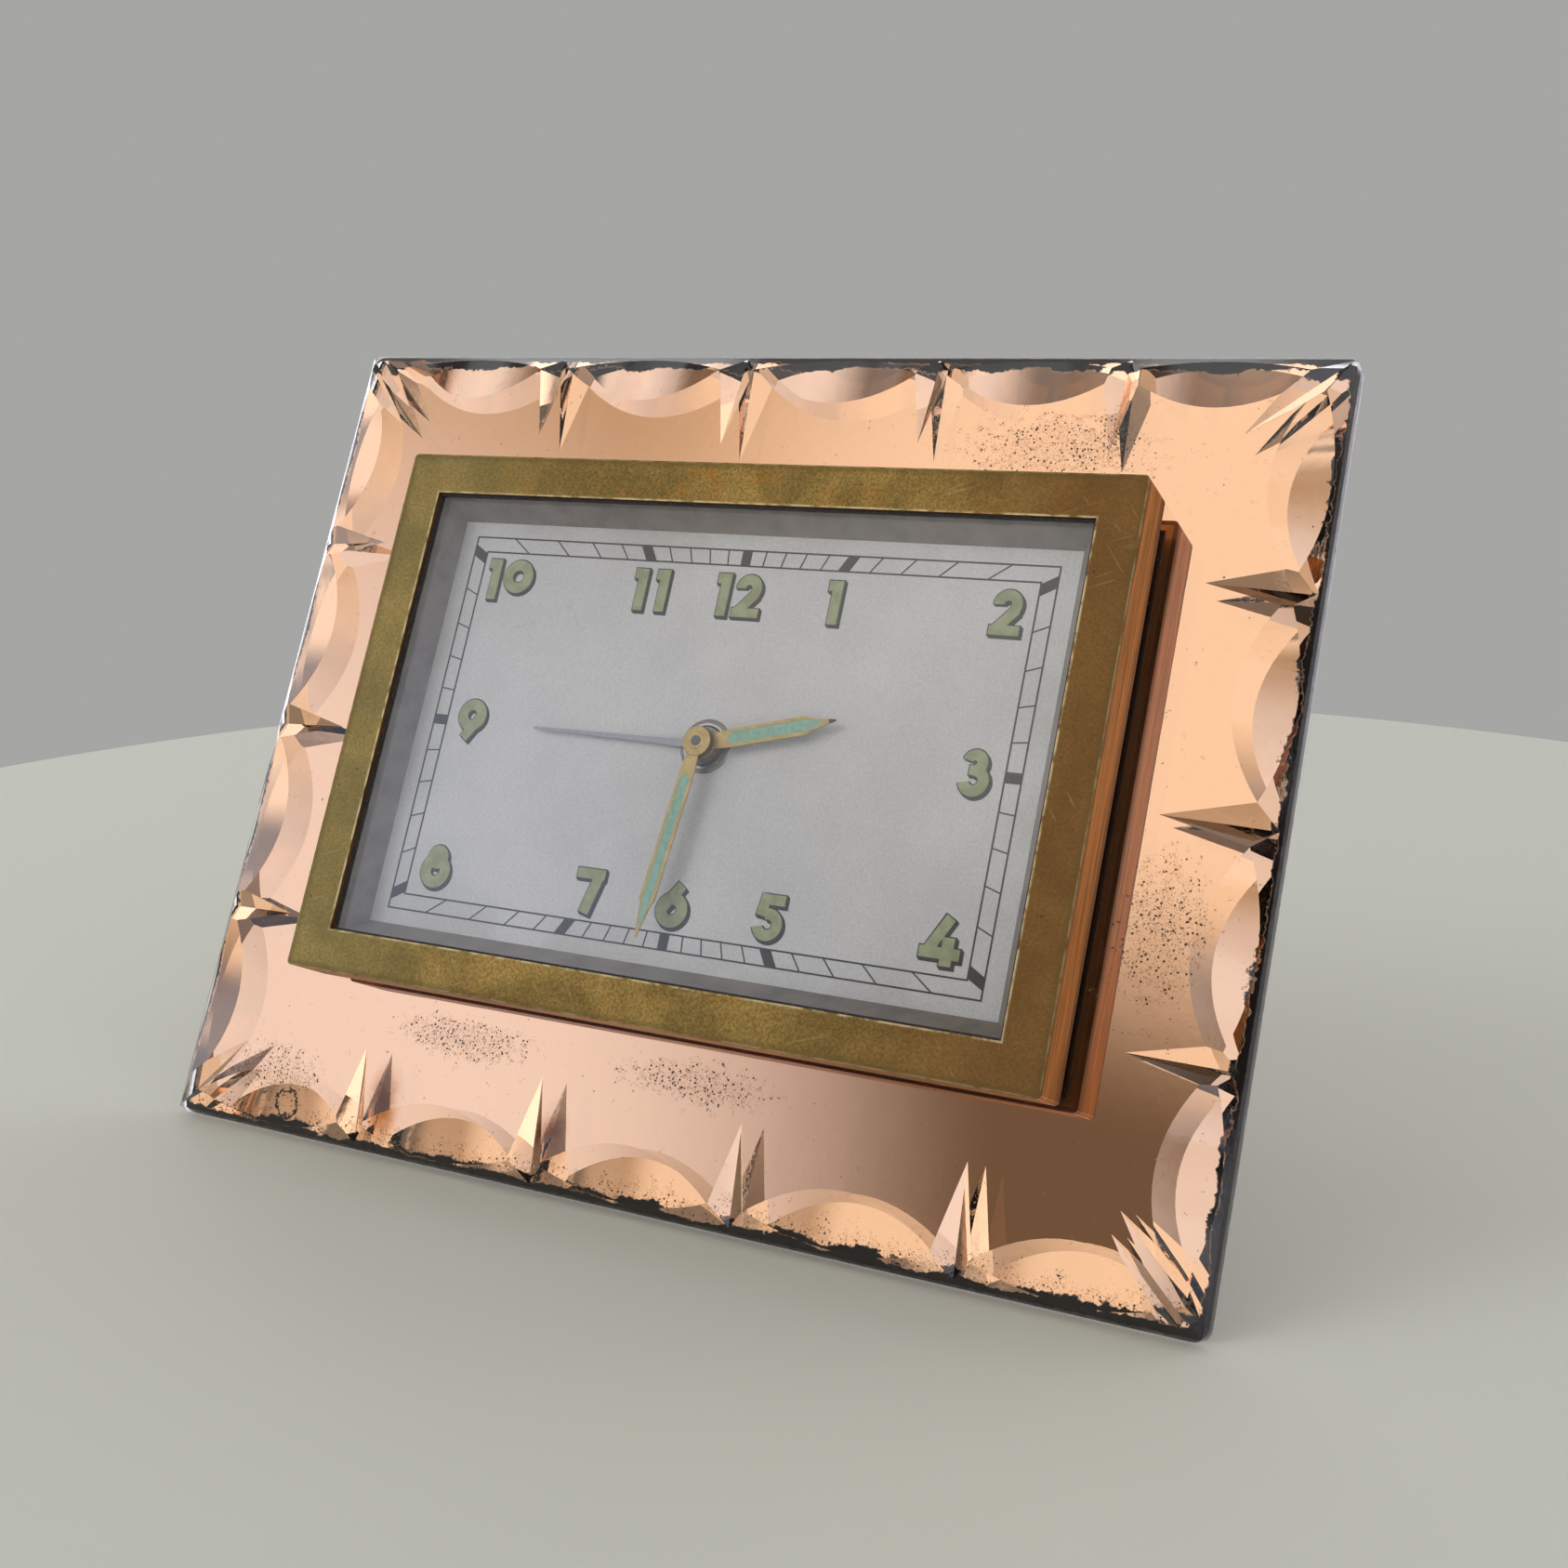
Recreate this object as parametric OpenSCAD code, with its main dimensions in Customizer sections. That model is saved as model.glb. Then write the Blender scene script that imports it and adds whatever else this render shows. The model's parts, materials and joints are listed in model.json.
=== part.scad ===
// Mirror alarm clock: a cut glass plate, silvered on the back, that leans on a strut
// and carries a brass dial box in front and a round movement case behind.
// Every piece is drawn as if the plate stood upright: x to the right, y to the back
// from the front of the glass, z up from the middle of the plate. leaned() tips it.

/* [Mirror plate] */
// Width of the glass
plate_w = 203; // [195:1:215]
// Height of the glass
plate_h = 159; // [154:0.5:170]
// Thickness of the glass
plate_t = 7; // [6:0.5:8]
// Radius of the glass corners
plate_corner_r = 2.5; // [1:0.5:4]
// Width of the bevel round the front of the glass
bevel_w = 4.5; // [3.5:0.1:5.5]
// Depth of the bevel at its outer edge
bevel_depth = 3.6; // [3.4:0.1:4]
// Width of the ground arris between the bevel and the side
arris = 0.6; // [0.4:0.1:1]
// Lean of the plate from upright, in degrees
lean = 26; // [20:1:30]
// Thickness of the silvering and its backing paint
silver_t = 0.2; // [0.1:0.1:0.4]
// Bare glass left round the silvering
silver_margin = 0.6; // [0.4:0.2:2]

/* [Edge cuts] */
// How far a scallop reaches in from the edge
scallop_reach = 11; // [9.5:0.1:12]
// Depth of a scallop at the edge
scallop_depth = 3.3; // [2.8:0.1:3.3]
// Radius of the wheel that cuts the scallops
scallop_r = 78; // [65:1:90]
// Distance between scallops along the top and bottom
scallop_pitch_x = 38.5; // [37:0.5:40]
// Distance between scallops along the sides
scallop_pitch_z = 37.5; // [36:0.5:39]
// How far a leaf cut reaches in from the edge
leaf_reach = 18.5; // [15:0.5:20]
// Depth of a leaf cut at the edge
leaf_depth = 3.2; // [2.4:0.1:3.3]
// Half the width of a leaf cut, for its depth
leaf_spread = 1.4; // [1:0.1:1.8]
// Length of the diagonal cuts in the corners
corner_reach = 22.5; // [19:0.5:25]
// Distance between two diagonal cuts in one corner
corner_gap = 3.2; // [2.5:0.1:4]
// Size of the flat ground off each corner
corner_facet = 8; // [6:0.5:10]

/* [Dial box] */
// Width of the bezel
bezel_w = 146.4; // [140:0.2:152]
// Height of the bezel
bezel_h = 101; // [98:0.2:106]
// How far the bezel stands out from the felt
bezel_d = 10; // [9:0.2:12]
// Thickness of the bezel's sheet
sheet = 0.8; // [0.6:0.1:1]
// Width of the bezel's face round the opening
border_w = 7.7; // [6.5:0.1:9]
// How far the sloping reflector reaches in over the dial on each side
reflector_in = 3.35; // [2.5:0.05:4]
// Thickness of the crystal
crystal_t = 1.6; // [1.4:0.1:2]
// Thickness of the black seal in front of the crystal
seal_t = 0.4; // [0.3:0.1:0.6]
// Depth of the sloping reflector
reflector_d = 4.4; // [4.2:0.1:5]
// Thickness of the dial sheet
dial_t = 0.5; // [0.4:0.1:0.6]
// Thickness of the frame behind the dial
frame_t = 1.5; // [1.4:0.1:2]
// Place of the dial box to the right of the plate's middle
case_x = 1.1; // [-3:0.1:3]
// Place of the dial box above the plate's middle
case_z = 1.4; // [-3:0.1:3]

/* [Dial print] */
// Bare dial beside the minute track
margin_side = 3.45; // [2.5:0.05:5]
// Bare dial above and below the minute track
margin_end = 2.95; // [2.5:0.05:5]
// Distance between the two lines of the track
track_band = 2.9; // [2:0.1:4]
// Width of a printed line
line_w = 0.3; // [0.2:0.05:0.4]
// Width of a five minute block
block_w = 1.9; // [1.4:0.1:2.4]
// Thickness of the print
print_t = 0.06; // [0.04:0.02:0.1]
// Height of a numeral
numeral_h = 8; // [7:0.2:8.6]
// Width of a numeral's stroke
stroke = 1.9; // [1.6:0.05:2]
// Width of the dark edge round a numeral
edge_w = 0.24; // [0.16:0.02:0.34]
// Width of the dark shadow below and to the right of a numeral
shade_w = 0.42; // [0.3:0.02:0.6]
// From the minute track to the middle of a numeral
numeral_in = 8.5; // [7.5:0.1:10]
// Columns of the numerals beside 12 and 6
column_in = 18.4; // [16:0.1:20]
// Thickness of the luminous paint
lume_t = 0.16; // [0.1:0.02:0.2]

/* [Hands] */
// Time shown: minutes past the hour
minute_shown = 31; // [0:1:59]
// Time shown: hour
hour_shown = 2; // [0:1:11]
// Alarm time, in hours
alarm_shown = 9; // [0:0.25:11.75]
// Length of the minute hand
minute_len = 35.6; // [32:0.2:36]
// Length of the hour hand
hour_len = 25.6; // [22:0.2:28]
// Length of the alarm hand
alarm_len = 35.5; // [30:0.5:36]
// Thickness of a hand
hand_t = 0.3; // [0.2:0.05:0.35]
// Gap between the crystal and the minute hand
hand_gap = 0.8; // [0.7:0.1:0.9]

/* [Movement case] */
// Outside radius of the round case
case_r = 40.5; // [40.5:0.1:42]
// How far the case reaches behind the front of the glass
case_d = 29.2; // [29:0.1:31]
// Width of the clamp ring
ring_w = 9.5; // [8:0.5:12]
// Thickness of the clamp ring
ring_t = 1.8; // [1.5:0.1:2.5]
// Thickness of the felt under the case and the ring
felt_t = 0.6; // [0.4:0.1:1]

/* [Movement] */
// Thickness of a movement plate
brass_t = 1.2; // [1:0.1:1.3]
// Distance between the movement plates
plate_gap = 18; // [17.8:0.1:18.4]
// Radius of the movement plates
movement_r = 39.2; // [38.8:0.1:39.4]
// Running clearance round a pivot
fit = 0.05; // [0.03:0.01:0.07]
// Play of an arbor between its plates
endshake = 0.15; // [0.1:0.01:0.2]

/* [Stand] */
// Place of the strut's foot behind the plate's middle
foot_back = 52; // [48:1:56]
// Width of the strut at its foot
foot_w = 46; // [40:1:60]
// Width of the strut at its hinge
strut_w = 24; // [20:1:26]
// Thickness of the strut's sheet
strut_t = 1.4; // [1:0.1:1.8]
// Radius of the rubber foot
foot_r = 2; // [1.6:0.1:2.5]
// Place of the hinge below the middle of the case
hinge_drop = 32.2; // [31:0.2:33]

/* [Hidden] */
opening_w = bezel_w - 2 * border_w;
opening_h = bezel_h - 2 * border_w;
dial_w = opening_w - 2 * reflector_in;
dial_h = opening_h - 2 * reflector_in;
track_w = dial_w - 2 * margin_side;
track_h = dial_h - 2 * margin_end;
column_out = track_w / 2 - numeral_in;
row_out = track_h / 2 - numeral_in;
$fn = 64;
eps = 0.01;
fine = 96;

// Layers of the dial box, from the glass to the front
box_back = -felt_t;
front_y = -felt_t - bezel_d;
seal_y = front_y + sheet;
crystal_y = seal_y + seal_t;
reflector_y = crystal_y + crystal_t;
dial_y = reflector_y + reflector_d;
dial_back = dial_y + dial_t;
tray_y = box_back - sheet;
stack_gap = 0.6;
stack_w = bezel_w - 2 * sheet - 2 * stack_gap;
stack_h = bezel_h - 2 * sheet - 2 * stack_gap;
dial_frame_t = tray_y - dial_back;

// Depths of the movement
plate_front = 2.6;
plate_in = plate_front + brass_t;
rear_in = plate_in + plate_gap;
rear_out = rear_in + brass_t;
cover_y = case_d;
cover_out = cover_y + sheet;
case_in = case_r - sheet;
hole_r = case_r + 0.8;

// The hands are stacked forward from the dial
minute_y = reflector_y + hand_gap;
hour_y = minute_y + 1.4;
alarm_y = hour_y + 1.05;
arbor_r = 0.9;
cannon_r = 1.5;
hour_pipe_r = 2.1;
alarm_pipe_r = 2.8;
dial_hole_r = 3.3;
minute_angle = minute_shown * 6;
hour_angle = hour_shown * 30 + minute_shown / 2;
alarm_angle = alarm_shown * 30;

// Arbor places, x and z from the middle of the case
m_motion = 0.5;
m_hour = 0.48;
m_fine = 0.35;
m_third = 0.4;
cannon_n = 12;
minute_n = 36;
minute_leaves = 10;
hour_n = 40;
alarm_n = 60;
alarm_set_n = 20;
great_n = 60;
centre_leaves = 12;
centre_n = 60;
leaves = 8;
third_n = 64;
fourth_n = 64;
alarm_leaves = 10;
escape_n = 15;

function reach(m, a, b) = m * (a + b) / 2;
function polar(r, a) = [r * cos(a), r * sin(a)];

minute_turn = 90;
minute_at = polar(reach(m_motion, cannon_n, minute_n), minute_turn);
set_at = [0, -reach(m_motion, alarm_n, alarm_set_n)];
great_turn = 214;
time_at = polar(reach(m_motion, great_n, centre_leaves), great_turn);
alarm_at = [-time_at[0], time_at[1]];
third_turn = 110;
third_at = polar(reach(m_third, centre_n, leaves), third_turn);
fourth_turn = 10;
fourth_at = third_at + polar(reach(m_fine, third_n, leaves), fourth_turn);
escape_turn = 80;
escape_at = fourth_at + polar(reach(m_fine, fourth_n, leaves), escape_turn);
balance_at = [-9, 25];
lever_step = 8;
lever_dir = (balance_at - escape_at) / norm(balance_at - escape_at);
lever_at = escape_at + lever_step * lever_dir;
lever_turn = atan2(lever_dir[1], lever_dir[0]);
ring_turn = 60;
alarm_escape_at = alarm_at + polar(reach(m_motion, great_n, alarm_leaves), ring_turn);
hammer_at = alarm_escape_at + polar(9.5, 18);
stop_at = [26, 18.5];
pillar_at = [for (sx = [-1, 1], sz = [-1, 1]) [24 * sx, 27 * sz]];

// Levels of the wheels between the plates, behind the front of the glass
centre_y = 4.6;
third_y = 6.6;
fourth_y = 9.5;
escape_y = 12;
spring_y = 8.5;
spring_h = 6.5;
time_wheel_y = 16.2;
alarm_wheel_y = 6.4;
alarm_escape_y = 17.5;
wheel_t = 1.2;
fine_t = 0.8;
ratchet_t = 1;
time_ratchet_y = time_wheel_y + wheel_t + 0.3;
centre_pipe_y = plate_in + 2 * endshake + 0.2;
centre_collar_y = time_wheel_y + wheel_t + 0.9;
alarm_ratchet_y = alarm_wheel_y + wheel_t + 0.3;
alarm_spring_y = alarm_ratchet_y + ratchet_t + 0.5;
click_r = 7.4;
lever_y = 12.75;
balance_y = 15;
hairspring_y = 18.2;
regulator_y = 20.4;
spring_r = 13.4;
ratchet_r = 4.8;
winding_r = 1.8;
pivot_r = 0.6;
knob_y = 31.2;
key_y = 31.6;

// The lean, the place of the hinge and the length of the strut
hinge_y = cover_out + sheet + 3.2;
hinge_z = case_z - hinge_drop;
pin_r = 1.25;
barrel_r = 2.5;
rise = plate_h / 2 * cos(lean) + plate_t * sin(lean);
front_low = -(plate_h / 2 - bevel_w) * sin(lean);
shift = -(front_low + foot_back + foot_r) / 2;
hinge_back = hinge_y * cos(lean) + hinge_z * sin(lean);
hinge_up = rise - hinge_y * sin(lean) + hinge_z * cos(lean);
strut_len = norm([foot_back - hinge_back, hinge_up - foot_r]);
strut_angle = atan2(foot_back - hinge_back, hinge_up - foot_r);

// Tips the upright clock back onto its lower rear edge
module leaned() {
    translate([0, shift, rise]) rotate([-lean, 0, 0]) children();
}

// Moves a piece of the dial box or movement to its place on the plate
module cased() {
    leaned() translate([case_x, 0, case_z]) children();
}

// Stands a flat outline up between two depths
module slab(y0, y1) {
    translate([0, y1, 0]) rotate([90, 0, 0]) linear_extrude(y1 - y0) children();
}

module rod(y0, y1, r, at = [0, 0]) {
    slab(y0, y1) translate(at) circle(r = r);
}

module cone(y0, y1, r0, r1, at = [0, 0]) {
    translate([at[0], y1, at[1]]) rotate([90, 0, 0]) cylinder(h = y1 - y0, r1 = r1, r2 = r0);
}

module ring(y0, y1, r_out, r_in, at = [0, 0]) {
    slab(y0, y1) translate(at) difference() {
        circle(r = r_out);
        circle(r = r_in);
    }
}

module panel(w, h) {
    square([w, h], center = true);
}

module round_panel(w, h, r) {
    panel(w - 2 * r, h);
    panel(w, h - 2 * r);
    for (sx = [-1, 1], sz = [-1, 1])
        translate([sx * (w / 2 - r), sz * (h / 2 - r)]) circle(r = r);
}

module frame(y0, y1, w, h, in_w, in_h) {
    slab(y0, y1) difference() {
        panel(w, h);
        panel(in_w, in_h);
    }
}

// A wedge of the plane between two angles, drawn in short chords outside radius r
module wedge(r, a0, a1) {
    steps = ceil((a1 - a0) / 30);
    polygon(concat([[0, 0]], [for (i = [0:steps]) polar(r * 1.2, a0 + (a1 - a0) * i / steps)]));
}

module arc_band(r_out, r_in, a0, a1) {
    intersection() {
        difference() {
            circle(r = r_out);
            circle(r = max(r_in, 0.2));
        }
        wedge(r_out, a0, a1);
    }
}

module bar(from, to, w) {
    step = to - from;
    translate(from) rotate(atan2(step[1], step[0]))
        translate([0, -w / 2]) square([norm(step), w]);
}

// Scallops along one edge of the glass, a little uneven as a hand sets them
top_nudge = [-1.5, 0, 3, 2, -3.5];
bottom_nudge = [-1.2, -1.8, -0.9, 1.4, 2.4];
right_nudge = [0.4, -2.3, 1.4, 0.6];
left_nudge = [0, -1.5, 0.3, 0.2];

function places(n, pitch, middle, nudge) =
    [for (i = [0:n - 1]) middle + (i - (n - 1) / 2) * pitch + nudge[i]];

top_at = places(5, scallop_pitch_x, 5.9, top_nudge);
bottom_at = places(5, scallop_pitch_x, 1.4, bottom_nudge);
right_at = places(4, scallop_pitch_z, -0.6, right_nudge);
left_at = places(4, scallop_pitch_z, -0.6, left_nudge);
scallop_tilt = atan(scallop_depth / scallop_reach);
leaf_tilt = atan(leaf_depth / leaf_reach);

module scallop_cut() {
    translate([0, 0, -scallop_reach]) rotate([-scallop_tilt, 0, 0])
        translate([0, -scallop_r, -4]) cylinder(h = scallop_reach + 24, r = scallop_r, $fn = fine);
}

module leaf_cut(length, tilt) {
    translate([0, 0, -length]) rotate([-tilt, 0, 0])
        linear_extrude(length + 12) polygon([[0, 0], [-9 * leaf_spread, -9], [9 * leaf_spread, -9]]);
}

// The bevel leaves a rim of even thickness, so the outline of the glass stays straight
module bevel_cut(length) {
    rotate([90, 0, 90]) linear_extrude(length, center = true) polygon([
        [-1, -bevel_w - (bevel_w - arris) / bevel_depth], [bevel_depth, -arris],
        [bevel_depth + arris + 1, 1], [-1, 1]
    ]);
}

module edge_cuts(at, reach_out, length) {
    translate([0, 0, reach_out]) bevel_cut(length + 4);
    for (x = at) translate([x, 0, reach_out]) scallop_cut();
    for (i = [0:len(at) - 2]) translate([(at[i] + at[i + 1]) / 2, 0, reach_out])
        leaf_cut(leaf_reach + (i % 2), leaf_tilt);
}

module corner_cuts(count) {
    for (i = [0:count - 1]) translate([(i - (count - 1) / 2) * corner_gap, 0, 0])
        leaf_cut(corner_reach - 2 * i, leaf_tilt * 0.9);
    translate([0, 0, -corner_facet]) rotate([-21, 0, 0])
        translate([-20, -10, 0]) cube([40, 10, 20]);
}

module mirror_plate() {
    color([1, 0.82, 0.62, 0.55]) leaned() difference() {
        slab(0, plate_t) difference() {
            round_panel(plate_w, plate_h, plate_corner_r);
            translate([case_x, case_z]) circle(r = hole_r, $fn = fine);
        }
        edge_cuts(top_at, plate_h / 2, plate_w);
        rotate([0, 180, 0]) edge_cuts([for (x = bottom_at) -x], plate_h / 2, plate_w);
        rotate([0, 90, 0]) edge_cuts([for (z = right_at) -z], plate_w / 2, plate_h);
        rotate([0, -90, 0]) edge_cuts(left_at, plate_w / 2, plate_h);
        for (sx = [-1, 1], sz = [-1, 1])
            translate([sx * plate_w / 2, 0, sz * plate_h / 2])
                rotate([0, sz > 0 ? sx * 46 : sx * 134, 0]) corner_cuts(sx == sz ? 1 : 2);
    }
}

module silvering() {
    color([0.2, 0.13, 0.1]) leaned() slab(plate_t, plate_t + silver_t) difference() {
        round_panel(plate_w - 2 * silver_margin, plate_h - 2 * silver_margin, plate_corner_r);
        translate([case_x, case_z]) circle(r = hole_r + 0.4, $fn = fine);
    }
}

// The pressed brass front of the dial box
module bezel() {
    color([0.62, 0.5, 0.22]) cased() difference() {
        slab(front_y, box_back) round_panel(bezel_w, bezel_h, 0.9);
        slab(front_y - 1, box_back + 1) panel(opening_w, opening_h);
        slab(seal_y, box_back + 1) panel(bezel_w - 2 * sheet, bezel_h - 2 * sheet);
    }
}

module crystal_seal() {
    color([0.08, 0.08, 0.08]) cased()
        frame(seal_y, crystal_y, stack_w, stack_h, opening_w - 0.9, opening_h - 0.9);
}

module crystal() {
    color([0.85, 0.92, 0.95, 0.35]) cased() slab(crystal_y, reflector_y) panel(stack_w, stack_h);
}

// A tapered block: its front face is w by h, its back face in_w by in_h
module taper(y0, y1, w, h, in_w, in_h) {
    translate([0, y0, 0]) rotate([-90, 0, 0])
        linear_extrude(y1 - y0, scale = [in_w / w, in_h / h], slices = 1, segments = 4) panel(w, h);
}

reflector_t = 0.5;

module reflector() {
    color([0.62, 0.62, 0.63]) cased() difference() {
        union() {
            slab(reflector_y, reflector_y + reflector_t) panel(stack_w, stack_h);
            taper(reflector_y, dial_y, opening_w + 2 * reflector_t, opening_h + 2 * reflector_t,
                dial_w + 2 * reflector_t, dial_h + 2 * reflector_t);
            frame(reflector_y, dial_y, stack_w, stack_h, stack_w - 2 * sheet, stack_h - 2 * sheet);
        }
        taper(reflector_y - eps, dial_y + eps, opening_w, opening_h, dial_w, dial_h);
    }
}

module dial() {
    color([0.8, 0.81, 0.82]) cased() slab(dial_y, dial_back) difference() {
        panel(stack_w, stack_h);
        circle(r = dial_hole_r);
    }
}

// Where a ray from the middle at angle a meets a w by h rectangle
function on_rect(w, h, a) =
    let (c = abs(cos(a)), s = abs(sin(a)), r = min(c > 0.001 ? w / 2 / c : 1000, s > 0.001 ? h / 2 / s : 1000))
    polar(r, a);

module track_line(w, h) {
    difference() {
        panel(w + line_w, h + line_w);
        panel(w - line_w, h - line_w);
    }
}

module minute_track() {
    track_line(track_w, track_h);
    track_line(track_w - 2 * track_band, track_h - 2 * track_band);
    intersection() {
        square([track_w, track_h], center = true);
        difference() {
            for (i = [0:59])
                bar(on_rect(track_w - 2 * track_band, track_h - 2 * track_band, i * 6) * 0.97,
                    on_rect(track_w, track_h, i * 6) * 1.03, i % 5 == 0 ? block_w : line_w * 0.8);
            square([track_w - 2 * track_band, track_h - 2 * track_band], center = true);
        }
    }
}

// Numerals from straight bars and arcs, drawn drawn_h high. w is the stroke
drawn_h = 8;

module ring_stroke(x, z, r, w) {
    translate([x, z]) difference() {
        circle(r = r);
        circle(r = max(r - w, 0.2));
    }
}

module digit(d, w, grow) {
    h = drawn_h / 2;
    if (d == 1) {
        bar([0, -h - grow], [0, h + grow], w);
        bar([-w / 2 - 0.8, h - 0.95], [0, h - 0.95], w);
    }
    if (d == 0) ring_stroke(0, h - 3.25, 3.25 + grow, w + 0.1);
    if (d == 2) {
        translate([0, h - 2.55]) arc_band(2.55 + grow, 2.55 + grow - w, -38, 182);
        bar([1.6, h - 3.4], [-1.6, -h + 0.9], w);
        bar([-2.7 - grow, -h + 0.85], [2.7 + grow, -h + 0.85], w * 0.9);
    }
    if (d == 3) {
        translate([-0.1, h - 2.25]) arc_band(2.25 + grow, 2.25 + grow - w, -92, 165);
        translate([0.1, -h + 2.7]) arc_band(2.7 + grow, 2.7 + grow - w, -168, 95);
        bar([-0.9 - grow, 0.45], [0.3, 0.45], w * 0.85);
    }
    if (d == 4) {
        bar([1.1, h + grow], [-2.3, -2.2], w);
        bar([-3.5 - grow, -1.95], [3.6 + grow, -1.95], w);
        bar([1.35, 0.7 + grow], [1.35, -h - grow], w * 1.1);
    }
    if (d == 5) {
        bar([-1.9 - grow, h - 0.9], [2.5 + grow, h - 0.9], w * 0.95);
        bar([-1, h], [-1.6, 0.2 - grow], w);
        translate([-0.1, -h + 2.8]) arc_band(2.8 + grow, 2.8 + grow - w, -165, 118);
    }
    if (d == 6) {
        ring_stroke(0, -h + 3.1, 3.1 + grow, w + 0.25);
        bar([-1.75, -0.6], [1.2, h - 0.4 + grow * 0.6], w * 1.05);
    }
    if (d == 7) {
        bar([-2.9 - grow, h - 0.9], [2.8 + grow, h - 0.9], w * 0.95);
        bar([1.8, h - 0.6], [-0.1, -h - grow * 0.8], w * 1.1);
    }
    if (d == 8) {
        ring_stroke(0, -h + 3.2, 3.2 + grow, w + 0.3);
        ring_stroke(0, h - 2.2, 2.2 + grow, w - 0.2);
    }
    if (d == 9) {
        ring_stroke(0, h - 3.05, 3.05 + grow, w + 0.15);
        bar([1.75, 0.6], [-1, -h + 0.45 - grow * 0.6], w * 1.05);
    }
}

module hour_mark(n, w, grow) {
    if (n < 10) digit(n, w, grow);
    if (n == 10) {
        translate([-2.6, 0]) digit(1, w, grow);
        translate([2.6, 0]) digit(0, w, grow);
    }
    if (n == 11) for (x = [-2.25, 2.3]) translate([x, 0]) digit(1, w, grow);
    if (n == 12) {
        translate([-2.9, 0]) digit(1, w, grow);
        translate([1.9, 0]) digit(2, w, grow);
    }
}

numeral_at = [
    [0, row_out], [column_in + 0.8, row_out - 0.2], [column_out + 0.6, row_out], [column_out + 0.2, 0.2],
    [column_out, -row_out], [column_in + 0.6, -row_out - 0.3], [0.3, -row_out - 0.5],
    [-column_in + 1.4, -row_out - 0.2], [-column_out, -row_out + 0.2], [-column_out, 0.4],
    [-column_out + 0.2, row_out + 0.2], [-column_in + 0.5, row_out]
];

module hour_marks(w, grow) {
    size = numeral_h / drawn_h;
    for (i = [0:11]) translate(numeral_at[i]) scale([size, size])
        hour_mark(i == 0 ? 12 : i, w / size, grow / size);
}

module dial_print() {
    color([0.1, 0.11, 0.1]) cased() slab(dial_y - print_t, dial_y) {
        minute_track();
        for (k = [0:2]) translate([k, -k] * shade_w / 2) hour_marks(stroke + 2 * edge_w, edge_w);
    }
}

module numerals() {
    color([0.56, 0.6, 0.44]) cased() slab(dial_y - print_t - lume_t, dial_y - print_t)
        hour_marks(stroke, 0);
}

module dial_ferrule() {
    color([0.7, 0.7, 0.7]) cased() ring(dial_y - 0.45, dial_y, dial_hole_r + 1.1, dial_hole_r);
}

module dial_frame() {
    color([0.45, 0.42, 0.36]) cased()
        frame(dial_back, tray_y, stack_w, stack_h, dial_w - 4, dial_h - 3);
}

// The back tray of the dial box and the drum that goes through the glass, in one piece
ledge_w = 3;

module case_drum() {
    color([0.55, 0.53, 0.48]) cased() {
        slab(tray_y, box_back) difference() {
            panel(bezel_w - 2 * sheet, bezel_h - 2 * sheet);
            circle(r = case_in, $fn = fine);
        }
        slab(tray_y, case_d) difference() {
            circle(r = case_r, $fn = fine);
            circle(r = case_in, $fn = fine);
        }
        ring(plate_front - sheet, plate_front, case_in + eps, case_in - ledge_w);
    }
}

module felt_rings() {
    color([0.1, 0.1, 0.1]) cased() {
        slab(box_back, 0) difference() {
            panel(bezel_w - 4, bezel_h - 4);
            circle(r = hole_r, $fn = fine);
        }
        ring(plate_t + silver_t, plate_t + silver_t + felt_t, case_r + ring_w - 1, hole_r + 0.4);
    }
}

module clamp_ring() {
    y0 = plate_t + silver_t + felt_t;
    color([0.6, 0.6, 0.58]) cased() slab(y0, y0 + ring_t) difference() {
        circle(r = case_r + ring_w, $fn = fine);
        circle(r = case_r, $fn = fine);
        for (a = [0:60:300]) rotate(a) translate([case_r + ring_w, 0]) panel(5, 6);
    }
}

cover_lap = 4;
bead_r = hinge_drop - 3.9;
screw_r = 1.2;
regulator_arm = 8;
rivet_x = 8;

module back_cover() {
    color([0.6, 0.5, 0.24]) cased() difference() {
        union() {
            slab(cover_y, cover_out) circle(r = case_r + sheet, $fn = fine);
            ring(cover_y - cover_lap, cover_y, case_r + sheet, case_r, $fn = fine);
            ring(cover_out, cover_out + 0.5, bead_r, bead_r - 1.4);
        }
        slab(cover_y - 1, cover_out + 1) {
            circle(r = 2);
            translate(set_at) circle(r = 2);
            for (p = [time_at, alarm_at]) translate(p) circle(r = winding_r + 0.7);
            translate(stop_at) circle(r = 1.5 + fit);
            for (p = pillar_at) translate(p) circle(r = screw_r);
            translate(balance_at) arc_band(regulator_arm + 1.1, regulator_arm - 1.1, 50, 130);
        }
    }
}

module cover_screws() {
    color([0.7, 0.7, 0.7]) cased() for (p = pillar_at) difference() {
        union() {
            rod(rear_out + 3, cover_out, screw_r, p);
            rod(cover_out, cover_out + 1.3, 2.6, p);
        }
        slab(cover_out + 0.7, cover_out + 2) translate(p) rotate(30 + p[0] * 3) panel(6, 0.7);
    }
}

module standoff_nuts() {
    color([0.72, 0.58, 0.28]) cased() for (p = pillar_at)
        slab(rear_out, cover_y) translate(p) difference() {
            circle(r = 3, $fn = 6);
            circle(r = screw_r);
        }
}

// Movement plates with their pivot holes, and the post that the minute wheel runs on
post_r = 1;

module plate_blank(y0) {
    slab(y0, y0 + brass_t) difference() {
        circle(r = movement_r, $fn = fine);
        for (p = pillar_at) translate(p) circle(r = screw_r);
        for (p = [third_at, fourth_at, escape_at, lever_at, alarm_escape_at, hammer_at])
            translate(p) circle(r = pivot_r + fit);
        translate(balance_at) circle(r = 2.2);
        translate(set_at) circle(r = 1.1 + fit);
        children();
    }
}

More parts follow.
